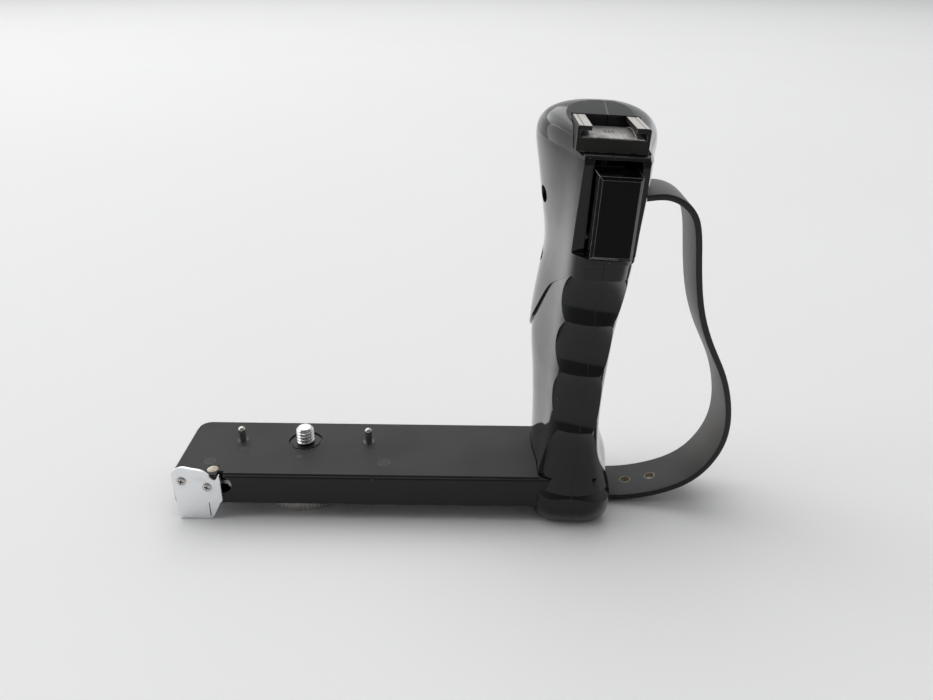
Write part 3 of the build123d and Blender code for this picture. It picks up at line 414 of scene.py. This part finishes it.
# %% Metals
def metal(name, shade, warmth, rough, stretch, grime, blacked=None):
    finish = Finish(name, Metallic=1.0)
    brush = finish.noise(1500, 3.0, stretch)
    stain = finish.noise(190, 4.0).ramp(0.48, 0.72)
    scratch = finish.noise(420, 1.0, stretch[::-1]).ramp(0.66, 0.72)
    edge = finish.soften(0.18 * mm, brush * 0.6 - scratch * 0.3, 0.012 * mm)
    colour = finish.mix(grey(shade, warmth), grey(shade * 0.45, warmth + 0.10), stain * grime)
    colour = finish.mix(colour, grey(min(shade * 1.25, 0.95), warmth), edge * 0.6)
    if blacked is not None:
        below = 1 - finish.along((0, 0, 1)).ramp(blacked, blacked + 0.1 * mm)
        colour = finish.mix(colour, grey(0.018), below)
        finish.feed(Metallic=1 - below)
    finish.feed(Base_Color=colour, Roughness=rough + brush * 0.10 + stain * grime * 0.25)
    return finish


metals = {
    "steel": dict(shade=0.46, warmth=0.03, rough=0.30, stretch=(1, 1, 6), grime=0.45),
    "screw_steel": dict(shade=0.66, warmth=0.0, rough=0.16, stretch=(1, 1, 4), grime=0.20),
    "pin_steel": dict(shade=0.52, warmth=0.06, rough=0.20, stretch=(1, 1, 8), grime=0.45,
                      blacked=0.05 * mm),
    "end_plate_metal": dict(shade=0.88, warmth=-0.02, rough=0.38, stretch=(1, 1, 0.08),
                            grime=0.12),
    "plate_screw_metal": dict(shade=0.58, warmth=0.03, rough=0.26, stretch=(1, 4, 1), grime=0.45),
    "wheel_metal": dict(shade=0.62, warmth=0.03, rough=0.30, stretch=(1, 1, 10), grime=0.45),
}
for name, values in metals.items():
    finishes[name] = metal(name, **values)
print("metal finishes", list(metals))

# %% [markdown]
# ## The accessory shoe
# The shoe is a dark cast block. The faces that look up at the top of its rails are painted a dull
# grey brown metal, a painted reflection of the bright room above, and its worn edges take the
# same metal. The blacking is left on the front, the sides and the slot. A painted mask would do
# this from one side only. Height and a face that looks up find the rail tops from any side, and
# noise breaks their rim. One dark groove runs along each rail.

# %% Shoe body
shoe_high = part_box("accessory_shoe")[1]
shoe_side = -0.6 * mm
rail_grooves = (-8.7 * mm, 8.7 * mm)
lit_top_depth, groove_depth = 2.2 * mm, 2.4 * mm


def shoe_metal():
    finish = Finish("shoe_metal", IOR=1.5, Specular_IOR_Level=0.3)
    grain = finish.noise(1300, 3.0)
    lines = finish.noise(900, 2.0, (1, 0.05, 1))
    height = finish.along((0, 0, 1))
    # Painted reflection: the rail tops that look up turn pale.
    lit_rail_tops = height.ramp(shoe_high.z - lit_top_depth, shoe_high.z - lit_top_depth + 1 * mm)
    lit_rail_tops = finish.looks("Z").ramp(0.80, 0.97) * lit_rail_tops * (0.55 + finish.noise(260, 4.0) * 0.9)
    edge = finish.soften(0.25 * mm, grain * 0.8 + lines * 0.3, 0.03 * mm)
    pale_metal = (lit_rail_tops + edge * finish.noise(500, 3.0).ramp(0.3, 0.6) * 0.8).least(1.0)
    colour = finish.mix(grey(0.006, 0.10), grey(0.011, 0.16), finish.noise(300, 4.0))
    colour = finish.mix(colour, lit_top_and_worn_metal, pale_metal)
    for offset in rail_grooves:
        beside = abs(beside_handle(finish) - shoe_side - offset)
        groove = (1 - beside.ramp(0.10 * mm, 0.22 * mm)) * height.over(shoe_high.z - groove_depth)
        colour = finish.mix(colour, grey(0.010), groove * 0.85)
    finish.feed(Base_Color=colour, Metallic=pale_metal * 0.85,
                Roughness=0.46 - pale_metal * 0.12 + lines * 0.12)
    return finish


finishes["shoe_metal"] = shoe_metal()
print("shoe stands", round((shoe_high.z - solid_low.z) * 1000, 1), "mm above the table")

# %% [markdown]
# ## The shoe's leaf
# A thin sprung leaf lies on the shoe's floor and presses an accessory up against the lips. Its
# blacking has gone wherever something slid over it, in streaks along the slot, and it has three
# short slits near the front. They could be cut in the mesh, but at a third of a millimetre they
# are only dark lines, so they are three squashed round spots: a distance measured eight times
# shorter along the slot.

# %% Shoe leaf
leaf_slits = (-1.1 * mm, 0.0, 1.1 * mm)
leaf_slit_y = -9.0 * mm
slit_squash = (1, 0.12, 0)


def shoe_leaf():
    finish = Finish("shoe_leaf")
    lines = finish.noise(800, 3.0, (1, 0.04, 1))
    wear = (finish.noise(170, 4.0) + lines * 0.5).ramp(0.55, 0.95)
    edge = finish.soften(0.12 * mm, lines, 0.015 * mm)
    pale_metal = (wear + edge * 0.6).least(1.0)
    colour = finish.mix(grey(0.18, 0.04), grey(0.62, 0.03), pale_metal)
    for offset in leaf_slits:
        x = handle_x * math.cos(lean) + shoe_side + offset + shoe_high.z * math.sin(lean)
        spot = (x, leaf_slit_y, shoe_high.z)
        slit = 1 - finish.from_point(spot, slit_squash).ramp(0.20 * mm, 0.34 * mm)
        colour = finish.mix(colour, grey(0.03), slit * 0.8)
    finish.feed(Base_Color=colour, Metallic=0.3 + pale_metal * 0.6, Roughness=0.42 - pale_metal * 0.1)
    return finish


finishes["shoe_leaf"] = shoe_leaf()
print("slits in the leaf", len(leaf_slits))

# %% [markdown]
# ## The cream stud
# The release stud is a cream plastic that has yellowed, and it is dirtier where the finger never
# rubs it. A soft cloud of noise between two creams is all it takes, because the stud is small.

# %% Cream plastic
def cream():
    finish = Finish("release_plastic", IOR=1.5)
    dirt = finish.noise(620, 4.0).ramp(0.45, 0.75)
    finish.soften(0.25 * mm, finish.noise(1500, 2.0), 0.01 * mm)
    colour = finish.mix(clean_cream, soiled_cream, dirt * 0.6)
    finish.feed(Base_Color=colour, Roughness=0.38 + dirt * 0.2)
    return finish


finishes["release_plastic"] = cream()
print("finishes so far", len(finishes))

# %% [markdown]
# ## The strap's vinyl
# The strap is smooth satin vinyl, a warm grey black with a fine skin grain. It is nearly black on
# its cut edges, and a painted shade darkens it towards the table, to nearly black at its flat end.
# Each punched hole has a tan rim inside, partly the vinyl's raw core and partly painted light for
# the bright table seen through the hole. The holes could be found by a texture laid along the
# strap. But they stand in one row under the foot, so the distance from each hole's axis is enough,
# and nothing has to be unwrapped.

# %% Strap vinyl
strap_middle_y = -1.0 * mm
strap_hole_radius = 1.7 * mm
strap_hole_spacing = 8.9 * mm
strap_holes = 5
strap_screw_x = 90.8 * mm


def vinyl():
    finish = Finish("strap_vinyl", IOR=1.48, Specular_IOR_Level=0.36, Sheen_Weight=0.06,
                    Sheen_Roughness=0.4)
    skin = finish.put("ShaderNodeTexVoronoi", {"Vector": finish.place, "Scale": 1500.0})
    cloud = finish.noise(60, 4.0).ramp(0.35, 0.75)
    scuff = finish.noise(380, 3.0, (1, 0.15, 1)).ramp(0.62, 0.75)
    rim_with_painted_light = 0.0
    for hole in range(strap_holes):
        x = strap_screw_x + hole * strap_hole_spacing
        away = finish.from_point((x, strap_middle_y, 0), (1, 1, 0))
        inside = 1 - away.ramp(strap_hole_radius + 0.05 * mm, strap_hole_radius + 0.30 * mm)
        rim_with_painted_light = inside.most(rim_with_painted_light)
    low = 1 - finish.along((0, 0, 1)).ramp(-12 * mm, -10 * mm)
    edge = finish.soften(0.3 * mm, skin * 0.6 - scuff * 0.4, 0.02 * mm)
    # Painted shade: darker towards the table, nearly black at the flat end.
    clear_of_painted_shade = finish.along((0, 0, 1)).ramp(-16 * mm, 3 * mm)
    cut_edge = abs(finish.looks("Y")).ramp(0.5, 0.8)
    colour = finish.mix(grey(0.066, 0.06), grey(0.100, 0.05), cloud * 0.7)
    colour = finish.mix(grey(0.004, 0.12), colour, clear_of_painted_shade)
    colour = finish.mix(colour, grey(0.11, 0.06), (scuff * 0.4).most(edge * 0.25))
    colour = finish.mix(colour, grey(0.009, 0.05), cut_edge * 0.9)
    # Painted light and raw core: the tan rims inside the holes at the flat end.
    colour = finish.mix(colour, tan_core_and_painted_light, rim_with_painted_light * low * 0.8)
    finish.feed(Base_Color=colour, Roughness=0.36 + cloud * 0.08 + skin * 0.10)
    return finish


finishes["strap_vinyl"] = vinyl()
print("finishes in all", len(finishes))

# %% [markdown]
# ## Dressing the solids
# Each solid already names its slot in the record. Materials could be dragged on one by one, but
# a loop that gives each solid the finish of that name can't forget one, and a missing finish
# stops the script at once.

# %% Finishes on the solids
slots = {part["node"]: part["material_slot"] for part in frame["record"]["subparts"]}
for node, solid in frame["nodes"].items():
    solid.data.materials.clear()
    solid.data.materials.append(finishes[slots[node]].material)
print("dressed", len(slots), "solids")

# %% [markdown]
# ## New pieces
# A few pieces need finer shapes than the solids have. They could be modelled with Blender's own
# tools, but points and faces from a few lines of Python stay exact and can be changed by a
# number. One helper turns them into an object that rides on a body and stands for a solid.

# %% Pieces
sharp_angle = math.radians(35)


def smooth_all(mesh):
    mesh.shade_smooth()
    mesh.set_sharp_from_angle(angle=sharp_angle)


def piece(name, points, faces, slot=None, body=None, solid_node=None):
    mesh = bpy.data.meshes.new(name)
    mesh.from_pydata([tuple(point) for point in points], [], faces)
    mesh.update()
    smooth_all(mesh)
    thing = bpy.data.objects.new(name, mesh)
    bpy.context.collection.objects.link(thing)
    if slot:
        mesh.materials.append(finishes[slot].material)
        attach(thing, body)
        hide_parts(solid_node)
    return thing


# %% [markdown]
# ## Rings and turned shapes
# Most round or long things are a stack of rings with the same number of points. One helper joins
# such a stack with faces, and a second turns a profile round an axis, as a lathe does. A Screw
# modifier could do the same, but the rings also serve for the thread and the strap.

# %% Rings
def stacked(rings, ends=True):
    """Faces between rings of equal length, stacked one on the next, with or without end faces."""
    count = len(rings[0])
    faces = []
    for row in range(len(rings) - 1):
        for step in range(count):
            a, b = row * count + step, row * count + (step + 1) % count
            faces.append((a, b, b + count, a + count))
    if ends:
        faces.append(tuple(reversed(range(count))))
        faces.append(tuple((len(rings) - 1) * count + step for step in range(count)))
    return [point for ring in rings for point in ring], faces


def turned(profile, spot, axis, sides=32):
    """A closed turned shape: pairs of radius and height, from the bottom up, along an axis."""
    aim = Vector((0, 0, 1)).rotation_difference(Vector(axis))
    rings = []
    for radius, height in profile:
        ring = []
        for step in range(sides):
            angle = 2 * math.pi * step / sides
            point = Vector((radius * math.cos(angle), radius * math.sin(angle), height))
            ring.append(Vector(spot) + aim @ point)
        rings.append(ring)
    return stacked(rings)


def joined(shapes):
    """Several shapes' points and faces as one."""
    points, faces = [], []
    for more_points, more_faces in shapes:
        faces += [tuple(index + len(points) for index in face) for face in more_faces]
        points += more_points
    return points, faces


# %% [markdown]
# ## Cutting
# Holes and recesses are cut with other meshes. The Boolean is applied at once, so no modifier is
# left behind. Blender has a faster solver too, but the exact one leaves a closed skin where two
# recesses cross.

# %% Cutter
def cut(thing, shapes):
    """Takes the shapes away from a mesh object for good."""
    points, faces = joined(shapes)
    tool = piece("cutter", points, faces)
    modifier = thing.modifiers.new("cut", "BOOLEAN")
    modifier.operation, modifier.solver, modifier.object = "DIFFERENCE", "EXACT", tool
    shape = thing.evaluated_get(bpy.context.evaluated_depsgraph_get())
    result = bpy.data.meshes.new_from_object(shape)
    thing.modifiers.clear()
    thing.data = result
    smooth_all(result)
    bpy.data.objects.remove(tool)


# %% [markdown]
# ## The strap's line
# The strap is one flat band. It goes round a pin inside the head, leaves on the palm side, hangs
# in a free loop for the back of the hand, and comes in flat under the foot, where a screw holds
# it through the last of five punched holes. Cloth physics could hang it, but stiff vinyl keeps
# the shape that it was set in. So its middle line goes through chosen points instead, given as
# shares of the loop's reach and height. A natural cubic curve through them bends as a strip does,
# with no corner at a point.

# %% Strap line
strap_width = 19.0 * mm
strap_thickness = 2.0 * mm
strap_edge = 0.45 * mm
strap_root_x = 100.0 * mm
strap_reach = 48.5 * mm
strap_rise = 114.0 * mm
strap_flat_x = 108.6 * mm
strap_end_x = 86.6 * mm
strap_low_z = -15.9 * mm
strap_pin_side, strap_pin_height, strap_pin_radius = 8.6 * mm, 97.0 * mm, 1.2 * mm
eye_gap = 0.3 * mm
strap_steps = 150
strap_shares = (
    (0.247, 0.984), (0.381, 0.988), (0.502, 0.968), (0.572, 0.935), (0.610, 0.885),
    (0.632, 0.820), (0.654, 0.754), (0.705, 0.654), (0.804, 0.548), (0.907, 0.461),
    (0.973, 0.377), (1.000, 0.307), (0.990, 0.228), (0.928, 0.158), (0.804, 0.092),
    (0.619, 0.048), (0.433, 0.0263), (0.300, 0.0192),
)


def on_handle(side, depth, height):
    """A point of the leaning handle's own frame, in the grip's frame."""
    x = handle_x + side * math.cos(lean) + height * math.sin(lean)
    return Vector((x, depth, height * math.cos(lean) - side * math.sin(lean)))


def smooth_line(points, count):
    """Points at even steps on the natural cubic curve through the given points."""
    points = np.array(points)
    gaps = np.linalg.norm(np.diff(points, axis=0), axis=1)
    knots = np.concatenate(([0.0], np.cumsum(gaps)))
    system, load = np.eye(len(points)), np.zeros_like(points)
    slopes = np.diff(points, axis=0) / gaps[:, None]
    for row in range(1, len(points) - 1):
        before, after = gaps[row - 1], gaps[row]
        system[row, row - 1:row + 2] = before, 2 * (before + after), after
        load[row] = 6 * (slopes[row] - slopes[row - 1])
    bends = np.linalg.solve(system, load)
    line = []
    for run in np.linspace(0, knots[-1], count):
        row = min(int(np.searchsorted(knots, run, side="right")) - 1, len(gaps) - 1)
        gap, a, b = gaps[row], knots[row + 1] - run, run - knots[row]
        curve = bends[row] * a**3 / (6 * gap) + bends[row + 1] * b**3 / (6 * gap)
        curve += (points[row] / gap - bends[row] * gap / 6) * a
        curve += (points[row + 1] / gap - bends[row + 1] * gap / 6) * b
        line.append(curve)
    return line


pin = on_handle(strap_pin_side, 0, strap_pin_height)
eye_radius = strap_pin_radius + eye_gap + strap_thickness / 2
route = [(pin.x, pin.z - eye_radius)]
route += [(strap_root_x + a * strap_reach, b * strap_rise + solid_low.z) for a, b in strap_shares]
route += [(strap_flat_x, strap_low_z), (strap_end_x, strap_low_z)]
strap_line = smooth_line(route[:-1], strap_steps) + [np.array(route[-1])]
run = sum(np.linalg.norm(b - a) for a, b in zip(strap_line, strap_line[1:]))
print("strap is", round(run * 1000), "mm long from its pin to its end")

# %% [markdown]
# ## The strap's band
# A curve object with a bevel would carry a profile along this line, but it would leave a curve to
# convert, and its twist is hard to hold. Here the section is placed at every step: a flat
# oblong with rounded edges, so that the band shows its thickness and a soft highlight. The punched
# holes are then cut through its flat end.

# %% Strap band
def band_ring(place, normal):
    """The rounded oblong section across the band at one place of its line."""
    ring = []
    for side_y, side_n, start in ((1, 1, 0), (-1, 1, 90), (-1, -1, 180), (1, -1, 270)):
        for turn in (0, 30, 60, 90):
            angle = math.radians(start + turn)
            y = side_y * (strap_width / 2 - strap_edge) + strap_edge * math.cos(angle)
            n = side_n * (strap_thickness / 2 - strap_edge) + strap_edge * math.sin(angle)
            ring.append((place[0] + n * normal[0], strap_middle_y + y, place[1] + n * normal[1]))
    return ring


def band(line, closed=False):
    """The section carried along a line, square to the way the line runs."""
    rings = []
    for step, place in enumerate(line):
        before = line[step - 1] if step or closed else line[step]
        after = line[(step + 1) % len(line)] if step + 1 < len(line) or closed else line[step]
        step_along = np.array(after) - np.array(before)
        along = step_along / np.linalg.norm(step_along)
        rings.append(band_ring(place, (-along[1], along[0])))
    if closed:
        rings.append(rings[0])
    return stacked(rings, ends=not closed)


punch_low, punch_high = -4 * mm, 6 * mm
points, faces = band(strap_line)
strap = piece("hand_strap", points, faces, "strap_vinyl", "frame", "strap")
punches = []
for hole in range(strap_holes):
    spot = (strap_screw_x + hole * strap_hole_spacing, strap_middle_y, strap_low_z)
    punch = ((strap_hole_radius, punch_low), (strap_hole_radius, punch_high))
    punches.append(turned(punch, spot, (0, 0, 1)))
cut(strap, punches)
print("strap faces", len(strap.data.polygons))

# %% [markdown]
# ## The strap's eye
# At the head the band is turned back round its pin and closes on itself. It is hidden under the
# crown, and the same band along a closed circle is all it needs.

# %% Strap eye
eye_steps = 40
eye_turns = [2 * math.pi * step / eye_steps for step in range(eye_steps)]
eye_line = [np.array((pin.x + eye_radius * math.cos(a), pin.z + eye_radius * math.sin(a)))
            for a in eye_turns]
points, faces = band(eye_line, closed=True)
piece("hand_strap_eye", points, faces, "strap_vinyl", "frame", "strap")
print("eye is", round(eye_radius * 2000, 1), "mm across, on the band's middle")

# %% [markdown]
# ## The camera screw
# This is the one thread that everybody sees. It is a quarter inch screw with twenty turns to the
# inch, so each turn climbs 1.27 mm. A Screw modifier on a tooth's outline would leave open ends
# at the top and the bottom. So a grid of points wraps the screw instead, and each point's radius
# comes from how far up its own turn it is, which leaves a true helix in one closed skin. The top
# is chamfered, and a plain shank goes down through the bush to the wheel.

# %% Threaded screw
thread_radius = 3.175 * mm
thread_root = 2.62 * mm
thread_pitch = 25.4 * mm / 20
thread_chamfer = 0.9 * mm
shank_radius = 2.5 * mm
thread_sides = 64
thread_row = 0.09 * mm
thread_start = -0.1 * mm
flank_rate, root_share = 3.2, 0.3
screw_low, screw_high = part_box("camera_screw")


def thread_at(height, angle):
    """The thread's radius: flat crest, flat root and straight flanks between them."""
    turn = (height / thread_pitch - angle / (2 * math.pi)) % 1.0
    crest = min(max((0.5 - abs(turn - 0.5)) * flank_rate - root_share, 0.0), 1.0)
    radius = thread_root + (thread_radius - thread_root) * crest
    return min(radius, thread_radius - thread_chamfer + (screw_high.z - height))


def threaded(low, high):
    rows = round((high - low) / thread_row)
    rings = []
    for row in range(rows + 1):
        height = low + (high - low) * row / rows
        ring = []
        for step in range(thread_sides):
            angle = 2 * math.pi * step / thread_sides
            radius = thread_at(height, angle)
            ring.append((radius * math.cos(angle), radius * math.sin(angle), height))
        rings.append(ring)
    return stacked(rings)


shank = turned(((shank_radius, screw_low.z), (shank_radius, thread_start)), (0, 0, 0), (0, 0, 1))
points, faces = joined([threaded(thread_start, screw_high.z), shank])
piece("threaded_screw", points, faces, "screw_steel", "camera_screw", "camera_screw")
print("thread turns", round((screw_high.z - thread_start) / thread_pitch, 1))

# %% [markdown]
# ## Cross recess screws
# The end plate's two screws and the handle's three have pan heads with a cross recess. A dark
# cross painted on the head would look flat from the side, and the recess catches light. So a
# turned head is cut by two thin crossed wedges, each a box whose lower end is drawn in, as the
# driver's point is.

# %% Screw heads
point_share, mouth_share = 0.45, 1.1
recess_width_share, recess_length_share, recess_depth_share = 0.30, 1.25, 0.7
pan_shares = ((1, 0), (1, 0.45), (0.86, 0.85), (0.6, 1))


def wedge(spot, axis, across, length, width, depth):
    """A thin box that narrows with depth, which sinks into a head from its top."""
    axis, across = Vector(axis).normalized(), Vector(across).normalized()
    beside = axis.cross(across)
    rings = []
    for down, share in ((-depth, point_share), (depth * 0.6, mouth_share)):
        ring = []
        for a, b in ((1, 1), (-1, 1), (-1, -1), (1, -1)):
            corner = across * a * length / 2 * share + beside * b * width / 2
            ring.append(Vector(spot) + corner + axis * down)
        rings.append(ring)
    return stacked(rings)


def cross_screw(name, spots, axis, radius, head, shank, reach, slot, node, turn):
    """Pan heads on shanks along one axis: the spots are where the heads sit."""
    axis = Vector(axis).normalized()
    across = axis.orthogonal().normalized()
    across.rotate(Matrix.Rotation(math.radians(turn), 3, axis))
    shapes, recesses = [], []
    for spot in spots:
        profile = [(shank, -reach), (shank, 0)]
        profile += [(radius * out, head * up) for out, up in pan_shares]
        shapes.append(turned(profile, spot, axis))
        crown_spot = Vector(spot) + axis * head
        for direction in (across, axis.cross(across)):
            recesses.append([crown_spot, axis, direction, radius * recess_length_share,
                             radius * recess_width_share, radius * recess_depth_share])
    points, faces = joined(shapes)
    thing = piece(name, points, faces, slot, "frame", node)
    for recess in recesses:
        cut(thing, [wedge(*recess)])


# %% [markdown]
# ## The end plate's screws
# Two small screws sit in the bright plate, at its upper left and its lower right. Their solids
# give the places, so the new heads can't drift from them.

# %% End plate screws
low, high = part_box("end_plate_screws")
head_radius = 1.6 * mm
head_rise = 0.5 * mm
plate_face = low.y + head_rise
plate_spots = [(low.x + head_radius, plate_face, high.z - head_radius),
               (high.x - head_radius, plate_face, low.z + head_radius)]
cross_screw("plate_screws", plate_spots, (0, -1, 0), radius=head_radius, head=head_rise,
            shank=1.0 * mm, reach=high.y - plate_face, slot="plate_screw_metal",
            node="end_plate_screws", turn=25)
print("screws in the plate", len(plate_spots))

# %% [markdown]
# ## The handle's screws
# Three longer screws go through the left half of the handle into the right one. They lie deep in
# round recesses, along an axis that leans with the handle. Each place is a depth and a height on
# the handle, and the seat's distance from its middle plane.

# %% Handle screws
shell_places = ((0.0, 92.0, 13.4), (5.0, 71.0, 11.6), (7.0, 8.0, 10.2))
shell_spots = [on_handle(-seat * mm, y * mm, z * mm) for y, z, seat in shell_places]
shell_axis = (-math.cos(lean), 0, math.sin(lean))
cross_screw("handle_screws", shell_spots, shell_axis, radius=2.6 * mm, head=1.8 * mm,
            shank=1.5 * mm, reach=17 * mm, slot="steel", node="shell_screws", turn=40)
print("screws in the handle", len(shell_spots))

# %% [markdown]
# ## The table
# The object stands on a plain pale table. A curved backdrop would hide the horizon, but the
# camera looks down, so one large flat sheet fills the picture. Its tone drifts a little, because
# a perfectly even floor looks like paper cut out round the object.

# %% Table
floor_half = 7.0
floor_corners = ((-1, -1), (1, -1), (1, 1), (-1, 1))
floor_dull, floor_pale = (0.80, 0.80, 0.79, 1), (0.83, 0.83, 0.825, 1)


def studio_floor():
    corners = [(x * floor_half, y * floor_half, solid_low.z) for x, y in floor_corners]
    mesh = bpy.data.meshes.new("table_top")
    mesh.from_pydata(corners, [], [(0, 1, 2, 3)])
    finish = Finish("table_top", Roughness=0.75)
    finish.feed(Base_Color=finish.mix(floor_dull, floor_pale, finish.noise(3, 4.0)))
    mesh.materials.append(finish.material)
    table_top = bpy.data.objects.new("table_top", mesh)
    bpy.context.collection.objects.link(table_top)


studio_floor()
print("table is", floor_half * 2, "m wide")

# %% [markdown]
# ## The tent
# Gloss black shows the room and little else, so the room has to be right. It could be an array of
# cards and lamps. A world shader that goes by the ray's own direction is simpler and holds from
# any side: a bright tent behind, open towards the front and darker overhead. What faces the front
# mirrors a dark room, and what faces away mirrors the bright tent. The camera itself sees one pale
# grey, so the background stays plain.

# %% Tent
tent_front, tent_behind = (0.16, 0.16, 0.17, 1), (0.86, 0.87, 0.88, 1)
tent_seen = (0.82, 0.83, 0.84, 1)
front_turn, ceiling_turn = (-0.75, -0.05), (0.40, 0.85)
ceiling_loss = 0.6


def studio_world():
    world = bpy.data.worlds.new("tent")
    bpy.context.scene.world = world
    world.use_nodes = True
    web = Web(world.node_tree)
    ray = web.put("ShaderNodeTexCoord").take("Generated")
    toward = web.put("ShaderNodeSeparateXYZ", {0: ray})
    shade = web.mix(tent_front, tent_behind, toward.take("Y").ramp(*front_turn))
    strength = 1 - toward.take("Z").ramp(*ceiling_turn) * ceiling_loss
    tent = web.put("ShaderNodeBackground", {"Color": shade, "Strength": strength})
    plain = web.put("ShaderNodeBackground", {"Color": tent_seen})
    seen = web.put("ShaderNodeLightPath").take("Is Camera Ray")
    either = web.put("ShaderNodeMixShader", {0: seen, 1: tent, 2: plain})
    web.put("ShaderNodeOutputWorld", {"Surface": either})


studio_world()
print("tent's light behind and in front", tent_behind[1], tent_front[1])

# %% [markdown]
# ## Two soft lamps
# One very large lamp stands above and behind the object and does most of the lighting. A small
# one would draw a hard white patch on the crown, and a large one at the same power is dimmer all
# over and spreads it out. A second, lower lamp on the left draws the highlight on the head's
# shoulder.

# %% Lamps
def soft_lamp(name, spot, aim, size, power):
    light = bpy.data.lights.new(name, "AREA")
    light.shape, light.size, light.energy = "SQUARE", size, power
    lamp = bpy.data.objects.new(name, light)
    lamp.location = Vector(spot)
    lamp.rotation_euler = (Vector(aim) - Vector(spot)).to_track_quat("-Z", "Y").to_euler()
    bpy.context.collection.objects.link(lamp)


soft_lamp("top_lamp", spot=(-0.8, 1.6, 3.6), aim=(0.05, 0.4, 0), size=5.0, power=122.0)
soft_lamp("left_lamp", spot=(-2.9, 0.2, 1.3), aim=(0.08, 0, 0.05), size=2.4, power=26.0)
view = bpy.context.scene.view_settings
view.view_transform = "Standard"

# %% [markdown]
# The solids' box is printed last. The dressed model must stay in the solids' box.

# %% Solids' box
print("solids", [round(v, 4) for v in solid_high - solid_low])
